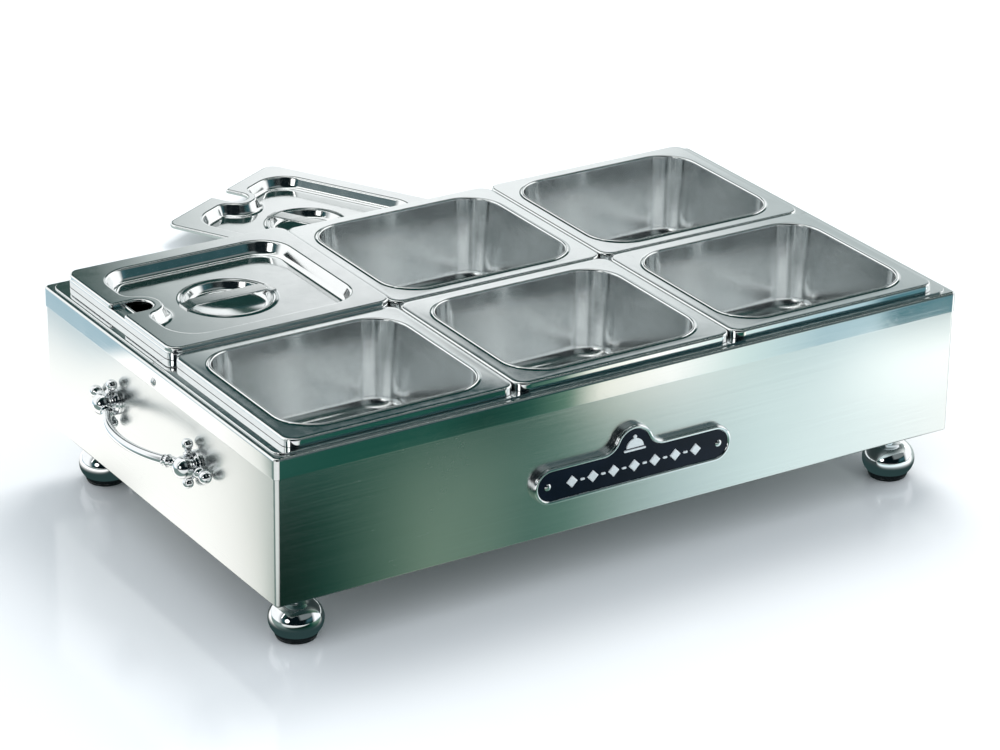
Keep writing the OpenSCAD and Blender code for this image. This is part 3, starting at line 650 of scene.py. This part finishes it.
def build_feet():
    """Turned ball feet on dark pads, each with a stem through the base plate."""
    plate, stem = CASE_LOW + 1.2, CASE_LOW + 12.9
    ball = arc(0, 14, 19.2, -34, 58, 23, 15.5 / 19.2)
    neck = curve([ball[-1], (8.0, 29.6), (7.4, 31.6), (8.0, 33.6), (10.6, 35.4), (13.2, 36.4)])[1:]
    seat = fillet([neck[-1], (14.6, 36.9, 0.5), (14.6, plate), (3.9, plate), (3.9, stem, 0.6),
                   (1, stem)])[1:]
    pad = fillet([(2, 0), (13.6, 0, 1.0), (14.4, 1.6, 0.4), (13.9, 2.2, 0.3), (14.8, 2.8, 0.4),
                  (14.8, PAD_TOP, 0.3), (2, PAD_TOP)])
    profile = [(2, PAD_TOP), (14.2, PAD_TOP)] + ball + neck + seat
    for end in ("front", "back"):
        for side in ("left", "right"):
            at = middle(f"foot_ball_{end}_{side}")
            for name, path, finish in (("ball", profile, CHROME), ("pad", pad, RUBBER)):
                bm = placed(shell(turned(path, FOOT_SIDES), True, True), shift(at.x, at.y, 0))
                piece(f"foot_{end}_{side}_{name}", bm, finish, SERVER, [f"foot_{name}_{end}_{side}"])


# ---------- carrying handles ----------

BOW_R, BOW_ANGLE, BOW_BAR = 88.03, 36.2, 3.4
ARM_Z = 5


def bow_mesh(side, reach_x):
    """Bowed bar with turned rings near its ends."""
    rings, steps, sides = [], 120, 28
    up, angles = Vector((0, 0, 1)), [TAU * k / sides for k in range(sides)]
    for i in range(steps + 1):
        s = -BOW_ANGLE + 2 * BOW_ANGLE * i / steps
        near = BOW_ANGLE - abs(s)
        r = BOW_BAR * (1 - 0.06 * math.cos(math.radians(s * 2.2)))
        for where, wide, high in ((5.0, 0.85, 1.5), (7.2, 0.5, 0.7), (2.9, 0.5, 0.7)):
            r += high * max(0, 1 - ((near - where) / wide) ** 2) ** 0.5 if abs(near - where) < wide else 0
        t = math.radians(s)
        out = Vector((math.cos(t), math.sin(t), 0))
        centre = Vector((reach_x - BOW_R, 0, MOUNT_Z)) + BOW_R * out
        rings.append([centre + r * (out * math.cos(a) + up * math.sin(a)) for a in angles])
    bm = shell(rings, True, True)
    bm.transform(Matrix.Diagonal((side, 1, 1, 1)))
    return bm


def mount_mesh():
    """Cast mount that stands along +Z on the wall, its long arm towards +Y."""
    rose = fillet([(0.5, 0), (10, 0, 0.4), (10, 2.0, 0.8), (8.6, 2.2, 0.3), (7.6, 3.8, 0.8), (5.0, 4.6, 1.2),
                   (5.0, 9), (0.5, 9)])
    boss = arc(0, 10, 8, -84, 84, 28)
    bolt = [(2.4, -12), (2.4, 1)]
    parts = [shell(turned(path, 40), True, True) for path in (boss, bolt)]
    for x, y, r in ((0, 21, 4.6), (14.5, -4, 4.0), (-14.5, -4, 4.0)):
        reach = math.hypot(x, y)
        arm = curve([(0.4, 0), (2.7, 1), (2.5, reach * 0.42), (3.9, reach * 0.6), (2.2, reach - r - 0.7),
                     (2.9, reach - r * 0.82)])
        ball = arc(0, reach, r, -48, 78, 18)
        parts.append(placed(shell(turned(arm + ball, 32), True, True), turn_to((x, y, 0), (0, 0, ARM_Z))))
    return shell(turned(rose, 40), True, True), parts


def build_handles():
    """Two bows, each between two cast mounts that are made once and turned to their places."""
    rose, parts = mount_mesh()
    model = to_object("mount_model", rose)
    boolean(model, parts, "UNION")
    for side, s in (("left", -1), ("right", 1)):
        node = f"handle_bow_{side}"
        reach_x = max(abs(span(node)[0].x), abs(span(node)[1].x)) - BOW_BAR
        piece(node + "_bar", bow_mesh(s, reach_x), HANDLE, SERVER, [node])
        for end, e in (("front", -1), ("back", 1)):
            bm = bmesh.new()
            bm.from_mesh(model.data)
            stand = Matrix(((0, 0, s, 0), (0, e, 0, 0), (-1, 0, 0, 0), (0, 0, 0, 1)))
            placed(bm, shift(s * WALL_X, e * MOUNT_Y, MOUNT_Z) @ stand)
            piece(f"handle_mount_{side}_{end}_casting", bm, HANDLE, SERVER, [f"handle_mount_{side}_{end}"])
    bpy.data.objects.remove(model)


def dome(r, high):
    """Low dome on z = 0, with a short straight edge."""
    ball = (r * r + high * high) / (2 * high)
    top = [(ball * math.sin(t), high - ball + ball * math.cos(t))
           for t in [math.asin(r / ball) * k / 6 for k in range(6, 0, -1)]]
    return [(r, -0.3)] + top


def build_screws():
    """The screw in the middle of each end of the collar."""
    parts = []
    for s in (-1, 1):
        head = shell(turned(dome(3.3, 1.6) + [(1.3, 1.45), (1.2, 0.9)], 36), True, True)
        stem = shell(turned([(1.8, -6.8), (1.8, -0.2)], 24), True, True)
        at = turn_to((s, 0, 0), (s * COLLAR_W / 2, 0, SCREW_Z))
        parts += [placed(head, at), placed(stem, at)]
    piece("collar_screw_heads", joined(*parts), FIXING, SERVER, ["collar_screws"])


# ---------- blank name plate ----------

def plate_outline(e, w=PLATE_W, h=28.0, hump=16.0, blend=12.0, n=14):
    """Long outline with round ends and a round hump, drawn in by e."""
    hump_z = h / 2 + 0.6
    hump_x = math.sqrt((hump + blend) ** 2 - (h / 2 + blend - hump_z) ** 2)
    lean = math.degrees(math.atan2(h / 2 + blend - hump_z, hump_x))
    end = h / 2 - e - 0.05
    points = []
    for x, y, r, a, b, k in (
            (w / 2 - h / 2, 0, end, -90, 90, 2 * n), (hump_x, h / 2 + blend, blend + e, 270, 180 + lean, n),
            (0, hump_z, hump - e, lean, 180 - lean, 2 * n),
            (-hump_x, h / 2 + blend, blend + e, -lean, -90, n),
            (h / 2 - w / 2, 0, end, 90, 270, 2 * n)):
        points += arc(x, y, r, a, b, k)
    return points


PLATE_FACE = shift(0, -WALL_Y, PLATE_Z) @ Matrix.Rotation(math.pi / 2, 4, "X")
MOTIF_LOW, MOTIF_PITCH = 4.7, 17


def plate_skin(path):
    """Closed shape that follows the plate's outline: the path gives (inwards, height) in mm."""
    return placed(shell([[(x, y, z) for x, y in plate_outline(e)] for e, z in path], True, True), PLATE_FACE)


def stud_holes(z, r):
    return [placed(rod((0, 0, 1), (x, 0, z), r, 12), PLATE_FACE) for x in (-STUD_X, STUD_X)]


def build_plate():
    """Cast rim with a rounded bead, and the dark field inside it."""
    rim = [(0, 0), (0, 3.4), (0.1, 3.9), (0.25, 4.15)] + arc(1.75, 4.15, 1.45, 165, 15, 10)
    rim += [(3.2, 4.2), (6, 4.2)]
    piece("plate_casting", plate_skin(rim), PLATE, SERVER, ["plate_body"], cuts=stud_holes(2, 1.55))
    field = fillet([(3.3, 4.22), (3.3, 4.8, 0.25), (5, 4.8)])
    piece("plate_enamel_face", plate_skin(field), ENAMEL, SERVER, ["plate_field"], cuts=stud_holes(4, 1.65))


def build_motif():
    """A row of lozenges with bars between them, under a plain dish cover with a rim and a knob."""
    parts = []
    for i in range(-3, 4):
        x = MOTIF_PITCH * i
        parts.append(prism([(x + 4.6, 0), (x, 4.6), (x - 4.6, 0), (x, -4.6)], MOTIF_LOW, 5.75, 1.0, 4))
        if i < 3:
            bar = [(x + MOTIF_PITCH / 2 + u, v) for u, v in rounded(3.6, 1.7, 0.8, 4)]
            parts.append(prism(bar, MOTIF_LOW, 5.65, 0.5, 2))
    cover = [(x, 13.6 + y) for x, y in [(-7, 0)] + arc(0, 0, 7, 172, 4, 21) + [(7, 0)]]
    parts.append(prism(cover[::-1], MOTIF_LOW, 5.78, 0.8, 4))
    parts.append(prism([(x, 12 + y) for x, y in rounded(18, 1.5, 0.7, 4)], MOTIF_LOW, 5.7, 0.45, 2))
    parts.append(prism(arc(0, 21.7, 1.5, 0, 342, 19), MOTIF_LOW, 5.75, 0.7, 3))
    piece("plate_ornament", placed(joined(*parts), PLATE_FACE), ORNAMENT, SERVER, ["plate_motif"])


def build_rivets():
    """Domed rivets with their shanks and the washers behind the wall."""
    rivets = []
    for x in (-STUD_X, STUD_X):
        to = PLATE_FACE @ shift(x, 0, 0)
        head = [(r, z + 5.0) for r, z in dome(2.6, 1.15)]
        for path, sides in ((head, 28), ([(1.5, -3), (1.5, 4.9)], 24), ([(5, -2), (5, -1.25)], 24)):
            rivets.append(placed(shell(turned(path, sides), True, True), to))
    piece("plate_rivets", joined(*rivets), PLATE, SERVER, ["plate_studs"])


# ---------- controls at the back ----------

BACK_AXES = Matrix(((-1, 0, 0, 0), (0, 0, 1, 0), (0, 1, 0, 0), (0, 0, 0, 1)))
KNOB_SIDES, KNOB_BORE, SAME_PLACE = 144, 3.05, 1e-6


def back_place(x):
    """Stands a shape made about Z on the back wall, its own y up."""
    return shift(x, WALL_Y, CONTROL_Z) @ BACK_AXES


def build_knob():
    """Skirted knob with a fluted grip and a raised pointer, bored for the spindle."""
    low, high = span("control_knob")
    edge = (high.x - low.x) / 2 - 0.1
    skirt = fillet([(KNOB_BORE, 1), (edge, 1, 0.4), (edge, 3.4, 0.8), (edge - 2.5, 3.7)])
    grip = fillet([(14.6, 4.0), (14.2, 16.6, 1.6), (9, 16.9)])
    rings = turned(skirt, KNOB_SIDES) + turned(
        grip, KNOB_SIDES, lambda r, t: min(0.0, 1.1 * abs(math.cos(6 * t)) - 0.55) if r > 13 else 0)
    bore = turned([(KNOB_BORE, 12.5), (KNOB_BORE, 1)], KNOB_SIDES)
    body = joined(shell(rings, False, True), shell(bore, True, False))
    bmesh.ops.remove_doubles(body, verts=body.verts[:], dist=SAME_PLACE)
    pointer = soften(block((-1.3, 2.5, 16.2), (1.3, 13.6, 17.8)), 0.5, 40, 3)
    knob = placed(joined(body, pointer), back_place(KNOB_AT.x))
    piece("thermostat_knob", knob, KNOB, "knob_body", ["control_knob"])


def build_switch():
    """Rocker switch: a framed housing in the wall and its paddle on an axle."""
    at, pivot = back_place(SWITCH_AT.x), (SWITCH_AT.x, WALL_Y + 1, CONTROL_Z)
    hollow = [rod((1, 0, 0), pivot, 12.9, 18.6, 64), rod((1, 0, 0), pivot, 1.55, 21)]
    lip = fillet([(-2, 0.1), (0, 0.1, 0.2), (0, 2, 0.9), (-2, 2)])
    bezel = shell(around(25, 34, 1.6, lip, 6), True, True)
    housing = block((-11, -15, -21), (11, 15, 1.8), 0.4, 2)
    piece("switch_frame", placed(bezel, at), CONTROL, SERVER, ["switch_housing"],
          unions=[placed(housing, at)], cuts=hollow)
    face = curve([(-10.9, 5.3), (-7.5, 4.1), (-3.5, 3.4), (0, 3.0), (3.5, 3.4), (7.5, 4.1), (10.9, 5.3)], 4)
    belly = [(x, max(y, -4.8)) for x, y in arc(0, 0, 12.2, -10, -170, 20)]
    paddle = soften(prism(([(v.x, v.y) for v in face] + belly)[::-1], -8.8, 8.8), 0.5, 40, 2)
    tilt = shift(*pivot) @ Matrix.Rotation(math.radians(10), 4, "X")
    stand = Matrix(((0, 0, 1, 0), (0, 1, 0, 0), (-1, 0, 0, 0), (0, 0, 0, 1)))
    piece("switch_paddle", placed(paddle, tilt @ stand), ROCKER, "rocker_body", ["switch_rocker"],
          unions=[rod((1, 0, 0), pivot, 1.5, 20.6)])


def build_lamp():
    """Pilot lamp: a bezel on a barrel, with a fluted lens."""
    at = back_place(LAMP_AT.x)
    barrel = fillet([(4, -8), (4, 3.2), (4.4, 3.2, 0.1), (7, 2.2, 0.7), (7, 0, 0.2), (5, 0, 0.2), (5, -22)])
    bezel = shell(turned([(p.x, min(p.y, 2.4)) for p in barrel][::-1]), True, True)
    piece("lamp_bezel", placed(bezel, at), FIXING, SERVER, ["lamp_body"])
    profile = [(3.9, -7), (3.9, 2.6)] + arc(0, 2.7, 4.4, 0, 81, 9, 2.1 / 4.4)
    lens = turned(profile, 72, lambda r, t: 0.12 * math.cos(18 * t) if 1 < r < 3.8 else 0)
    piece("lamp_lens_dome", placed(shell(lens, True, True), at), AMBER, SERVER, ["lamp_lens"])


def build_inlet():
    """Three-pin mains inlet held by two slotted screws."""
    at = back_place(INLET_AT.x)
    lip = fillet([(-3, 0.1), (0, 0.1, 0.2), (0, 3.1, 1.0), (-3, 3.1)])
    flange = shell(around(50, 24, 5, lip, 8), True, True)
    box_back = block((-13.5, -10, -23), (13.5, 10, 2.9), 0.4, 2)
    socket = [(-12.2, -8.2), (12.2, -8.2), (12.2, 4.2), (8.2, 8.2), (-8.2, 8.2), (-12.2, 4.2)]
    holes = [rod((0, 1, 0), (INLET_AT.x + x, WALL_Y + 2, CONTROL_Z), SCREW_HOLE, 12) for x in INLET_SCREWS]
    piece("inlet_socket", placed(flange, at), CONTROL, SERVER, ["inlet_housing"],
          unions=[placed(box_back, at)], cuts=[placed(prism(socket, -13.5, 4), at)] + holes)
    screws, slots = [], []
    for x in INLET_SCREWS:
        to = back_place(INLET_AT.x - x)
        head = shell(turned([(r, z + 3.4) for r, z in dome(3.0, 1.4)], 28), True, True)
        stem = shell(turned([(1.6, -7), (1.6, 3.2)], 20), True, True)
        screws += [placed(head, to), placed(stem, to)]
        slots.append(placed(block((-4, -0.35, 4.1), (4, 0.35, 6)), to))
    piece("inlet_screw_heads", joined(*screws), FIXING, SERVER, ["inlet_screws"], cuts=slots)


# ---------- CAD nodes that keep their shape ----------

KEPT = {
    "base_plate": BASE, "bar_rests": FIXING, "foot_nuts": FIXING, "handle_nuts": FIXING,
    "thermostat_spindle": FIXING, "thermostat": CERAMIC, "sensing_bulb": COPPER, "thermal_cutout": FIXING,
    "inlet_pins": BRASS,
    "terminal_block": CERAMIC, "earth_stud": BRASS, "heater_element": SHEATH, "element_clips": FIXING,
    "heat_reflector": REFLECTOR, "insulation": BLANKET, "wiring_loom": SLEEVE,
}


def finish_kept():
    """Gives each of them its finish."""
    for node, finish in KEPT.items():
        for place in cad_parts[node].material_slots:
            place.material = finish


build_case()
build_collar()
build_well()
build_dividers()
build_pans()
build_lids()
build_feet()
build_handles()
build_screws()
build_plate()
build_motif()
build_rivets()
build_knob()
build_switch()
build_lamp()
build_inlet()
finish_kept()


# ---------- studio ----------

# The low card lies just beneath the floor and is seen by reflections only. The front wall's reflections run
# along lines from the camera's mirror image behind that wall, so the card is graded across those lines.
FRONT_Y = -WALL_Y * MM
LEFT_X = -WALL_X * MM
WALL_GRADE = [
    (-0.42, (0.95, 0.98, 0.96)), (-0.35, (0.7, 0.74, 0.72)), (-0.315, (0.004, 0.02, 0.014)),
    (-0.262, (0.003, 0.024, 0.016)), (-0.236, (0.01, 0.062, 0.044)), (-0.198, (0.08, 0.165, 0.12)),
    (-0.16, (0.19, 0.29, 0.22)), (-0.115, (0.16, 0.26, 0.205)), (-0.08, (0.09, 0.19, 0.155)),
    (-0.05, (0.12, 0.24, 0.195)), (-0.014, (0.3, 0.43, 0.395)), (0.04, (0.59, 0.74, 0.75)),
    (0.11, (0.85, 1.03, 1.04)), (0.2, (1.08, 1.22, 1.23)), (0.3, (1.35, 1.36, 1.34))]
COLLAR_GRADE = [
    (-0.42, (1.0, 1.0, 1.0)), (-0.35, (0.6, 0.66, 0.64)), (-0.315, (0.03, 0.11, 0.09)),
    (-0.235, (0.017, 0.094, 0.071)), (-0.16, (0.017, 0.094, 0.071)), (-0.12, (0.011, 0.06, 0.045)),
    (-0.085, (0.02, 0.091, 0.069)), (-0.052, (0.13, 0.26, 0.19)), (-0.028, (1.1, 1.1, 0.98)),
    (0.03, (1.3, 1.3, 1.25)), (0.09, (0.82, 1.0, 0.97)), (0.16, (0.5, 0.7, 0.77)),
    (0.205, (0.56, 0.76, 0.82)), (0.222, (0.07, 0.21, 0.25)), (0.262, (0.12, 0.27, 0.31))]
SIDE_GRADE = [
    (-0.2, (0.22, 0.3, 0.28)), (-0.167, (0.3, 0.38, 0.35)), (-0.158, (1.06, 1.07, 1.01)),
    (-0.12, (1.25, 1.23, 1.19)), (-0.08, (1.4, 1.38, 1.34)), (0.3, (1.45, 1.43, 1.4))]


class Light(Nodes):
    """Colour of light by place or direction."""

    def __init__(self, tree, place):
        self.tree = tree
        self.place = tree.nodes.new("ShaderNodeTexCoord").outputs[place]
        self.x, self.y, self.z = [self.part(k) for k in range(3)]

    def ramp(self, value, stops):
        """Colour by value, through stops of (value, colour)."""
        low, high = stops[0][0], stops[-1][0]
        n = self.tree.nodes.new("ShaderNodeValToRGB")
        while len(n.color_ramp.elements) < len(stops):
            n.color_ramp.elements.new(0.5)
        for element, (at, colour) in zip(n.color_ramp.elements, stops):
            element.position, element.color = (at - low) / (high - low), (*colour, 1)
        self.link(self.spread(value, 0, 1, low, high, False), n.inputs[0])
        return n.outputs[0]

    def along_wall(self, across, out, camera, mirrored, wall):
        """Where on a wall the camera sees this place reflected."""
        run = self.maths("MULTIPLY", self.maths("SUBTRACT", across, camera), mirrored - wall)
        return self.maths("ADD", self.maths("DIVIDE", run, self.maths("SUBTRACT", mirrored, out)), camera)

    def above(self, value, edge, soft):
        """One where a value is over an edge, nought where it is under."""
        return self.spread(value, 0, 1, edge - soft, edge + soft)

    def below(self, value, edge, soft):
        return self.spread(value, 1, 0, edge - soft, edge + soft)

    def within(self, value, low, high, soft):
        return self.both(self.above(value, low, soft), self.below(value, high, soft))

    def fold(self, operation, values):
        out = values[0]
        for v in values[1:]:
            out = self.maths(operation, out, v)
        return out

    def both(self, *values):
        return self.fold("MULTIPLY", values)

    def either(self, *values):
        return self.fold("MAXIMUM", values)

    def compare(self, operation, vector):
        n = self.tree.nodes.new("ShaderNodeVectorMath")
        n.operation = operation
        n.inputs[1].default_value = vector
        self.link(self.place, n.inputs[0])
        return n.outputs["Value"]

    def distance(self, place):
        return self.compare("DISTANCE", place)

    def toward(self, direction):
        """The cosine of the angle from a direction."""
        return self.compare("DOT_PRODUCT", Vector(direction).normalized())


def add_sheet(name, half, z, mat):
    """Level square sheet of the studio, its middle under the case."""
    data = bpy.data.meshes.new(name)
    corners = [(-half, -half, z), (half, -half, z), (half, half, z), (-half, half, z)]
    data.from_pydata(corners, [], [(0, 1, 2, 3)])
    data.materials.append(mat)
    obj = bpy.data.objects.new(name, data)
    scene.collection.objects.link(obj)
    return obj


# The card's zones: their edges in metres, their colours, and how soft most edges are.
GLARE_Y, GLARE_U, COLLAR_ZONE, FAR_Y, BEYOND_X = -0.335, 0.2, -0.402, 0.345, -0.24
CARD_GLARE, CARD_FAR, CARD_BEYOND = (2.1, 2.15, 2.1), (0.47, 0.65, 0.74), (0.52, 0.6, 0.58)
# The first two colours on the next line are painted shadows: beneath the case and round each foot.
CARD_CASE_SHADOW, CARD_FOOT_SHADOW, CARD_SOFT = (0.05, 0.07, 0.07), (0.03, 0.06, 0.06), 0.02


def add_low_card():
    """The walls, the collar and the view from behind each have a zone of the card; beneath the case and
    round each foot it has painted shadows.
    """
    mat = bpy.data.materials.new("low_card")
    mat.use_nodes = True
    mat.node_tree.nodes.clear()
    n = Light(mat.node_tree, "Object")
    u = n.along_wall(n.x, n.y, CAMERA_AT.x, 2 * FRONT_Y - CAMERA_AT.y, FRONT_Y)
    v = n.along_wall(n.y, n.x, CAMERA_AT.y, 2 * LEFT_X - CAMERA_AT.x, LEFT_X)
    glare = n.both(n.below(n.y, GLARE_Y, 0.05), n.above(u, GLARE_U, 0.05))
    wall = n.blend(glare, n.ramp(u, WALL_GRADE), CARD_GLARE)
    front = n.blend(n.below(n.y, COLLAR_ZONE, 0.005), wall, n.ramp(u, COLLAR_GRADE))
    far = n.both(n.below(n.x, COLLAR_ZONE, 0.005), n.above(n.y, FAR_Y, CARD_SOFT))
    side = n.blend(far, n.ramp(v, SIDE_GRADE), CARD_FAR)
    back = n.both(n.above(n.y, -FRONT_Y, CARD_SOFT), n.above(n.x, BEYOND_X, CARD_SOFT))
    side = n.blend(n.either(back, n.above(n.x, -LEFT_X, CARD_SOFT)), side, CARD_BEYOND)
    # Painted shadow: the card is darker beneath the case's footprint, where the floor lies in the case's
    # shadow.
    under = n.both(n.within(n.x, LEFT_X, -LEFT_X, CARD_SOFT), n.within(n.y, FRONT_Y, -FRONT_Y, CARD_SOFT))
    side = n.blend(under, side, CARD_CASE_SHADOW)
    whole = n.blend(n.below(n.y, FRONT_Y, 0.012), side, front)
    # Painted contact shadows: dark round patches on the card about each foot, which the feet and the walls'
    # low edges reflect.
    feet = [middle(f"foot_ball_{end}_{hand}") * MM
            for end in ("front", "back") for hand in ("left", "right")]
    foot_shadows = n.either(*[n.spread(n.distance((f.x, f.y, 0)), 1, 0, 0.03, 0.085) for f in feet])
    glow = n.tree.nodes.new("ShaderNodeEmission")
    n.link(n.blend(foot_shadows, whole, CARD_FOOT_SHADOW), glow.inputs["Color"])
    n.link(glow.outputs[0], n.tree.nodes.new("ShaderNodeOutputMaterial").inputs["Surface"])
    card = add_sheet("low_card", 4, -0.002, mat)
    card.visible_camera = card.visible_diffuse = card.visible_shadow = card.visible_transmission = False


def add_floor():
    """White table, seen by everything but reflections: those see the low card."""
    mat = bpy.data.materials.new("studio_floor")
    mat.use_nodes = True
    n = Nodes(mat)
    clouds = n.noise(1.2, 3)
    n.link(n.blend(clouds, (0.91, 0.92, 0.94), (0.94, 0.95, 0.965)), n.bsdf.inputs["Base Color"])
    n.link(n.spread(clouds, 0.1, 0.15), n.bsdf.inputs["Roughness"])
    floor = add_sheet("studio_floor", 8, 0, mat)
    floor.visible_glossy = False


KEY_AT, KEY_AIM = Vector((0.95, 0.75, 1.9)), Vector((0, 0, 0.05))
KEY_SIZE, KEY_POWER, KEY_COLOUR = 1.1, 29, (1.0, 0.985, 0.96)


def add_key():
    """Overhead soft box: it lights the floor and dark parts, and the metal reflects the world instead."""
    data = bpy.data.lights.new("key", "AREA")
    data.shape, data.size = "SQUARE", KEY_SIZE
    data.energy, data.color = KEY_POWER, KEY_COLOUR
    obj = bpy.data.objects.new("key", data)
    obj.location = KEY_AT
    obj.rotation_mode = "QUATERNION"
    obj.rotation_quaternion = (KEY_AIM - KEY_AT).to_track_quat("-Z", "Y")
    obj.visible_glossy = False
    scene.collection.objects.link(obj)


DAYLIGHT, GLINT = (0.92, 0.985, 1.03), (2.6, 2.6, 2.55)
PALE_BACK, BLACK, GREY = (1.2, 1.21, 1.2), (0.002, 0.006, 0.008), (0.2, 0.23, 0.23)
DARK_LOW, DARK_BLUE, DARK_STREAK = (0.01, 0.036, 0.031), (0.055, 0.13, 0.16), (0.016, 0.056, 0.054)
LENS_WAY, FRONT_WAY, GLINT_WAY = (-0.45, -0.77, 0.42), (0.15, -0.98, 0.16), (-0.862, -0.37, 0.345)
PALE_GRADE = [
    (-1.0, (1.2, 1.2, 1.19)), (0.3, (1.15, 1.17, 1.17)), (0.355, (0.03, 0.07, 0.06)),
    (0.405, (0.04, 0.08, 0.07)), (0.416, (0.58, 0.64, 0.63)), (0.45, (1.12, 1.14, 1.14)),
    (0.53, (1.0, 1.03, 1.03)), (0.56, (0.55, 0.61, 0.61)), (0.62, (0.62, 0.68, 0.68)),
    (0.7, (1.05, 1.07, 1.07)), (1.0, (1.2, 1.2, 1.19))]


def add_world():
    """White studio for the light; reflections see dark flags over the front and around the camera.

    A flag's edges are parts of the direction, each with how soft it is."""
    world = bpy.data.worlds.new("studio")
    world.use_nodes = True
    back = next(n for n in world.node_tree.nodes if n.type == "BACKGROUND")
    n = Light(world.node_tree, "Generated")
    behind = n.both(n.above(n.y, 0.66, 0.06), n.below(n.z, 0.44, 0.02))
    pale = n.blend(behind, PALE_BACK, n.ramp(n.x, PALE_GRADE))
    low = n.blend(n.within(n.z, 0.16, 0.4, 0.08), DARK_LOW, DARK_BLUE)
    dark = n.blend(n.spread(n.noise((3, 3, 30), 3, 0.55), 0, 0.8, 0.4, 0.62), low, DARK_STREAK)
    lens = n.toward(LENS_WAY)
    dark = n.blend(n.above(lens, 0.74, 0.08), dark, BLACK)
    from_behind = n.both(n.below(n.y, -0.45, 0.1), n.above(n.z, 0.47, 0.05), n.above(n.x, -0.15, 0.1))
    dark = n.blend(from_behind, dark, GREY)
    band = n.both(n.within(n.x, 0.2, 0.72, 0.1), n.below(n.y, 0.62, 0.1))
    high = n.both(n.above(n.y, 0.45, 0.08), n.above(n.x, 0.02, 0.08), n.above(n.z, 0.402, 0.014))
    front = n.above(n.toward(FRONT_WAY), 0.85, 0.07)
    flags = n.both(n.either(band, high, n.above(lens, 0.42, 0.2), front), n.above(n.z, -0.1, 0.05))
    scenery = n.blend(flags, pale, dark)
    strip = n.both(n.within(n.y, 0.06, 0.12, 0.02), n.above(n.z, 0.4, 0.05))
    spot = n.above(n.toward(GLINT_WAY), 0.988, 0.004)
    scenery = n.blend(n.either(strip, spot), scenery, GLINT)
    rays = n.tree.nodes.new("ShaderNodeLightPath")
    n.link(n.blend(rays.outputs["Is Glossy Ray"], DAYLIGHT, scenery), back.inputs["Color"])
    scene.world = world


add_floor()
add_world()
add_low_card()
add_key()
scene.view_settings.view_transform = "Standard"
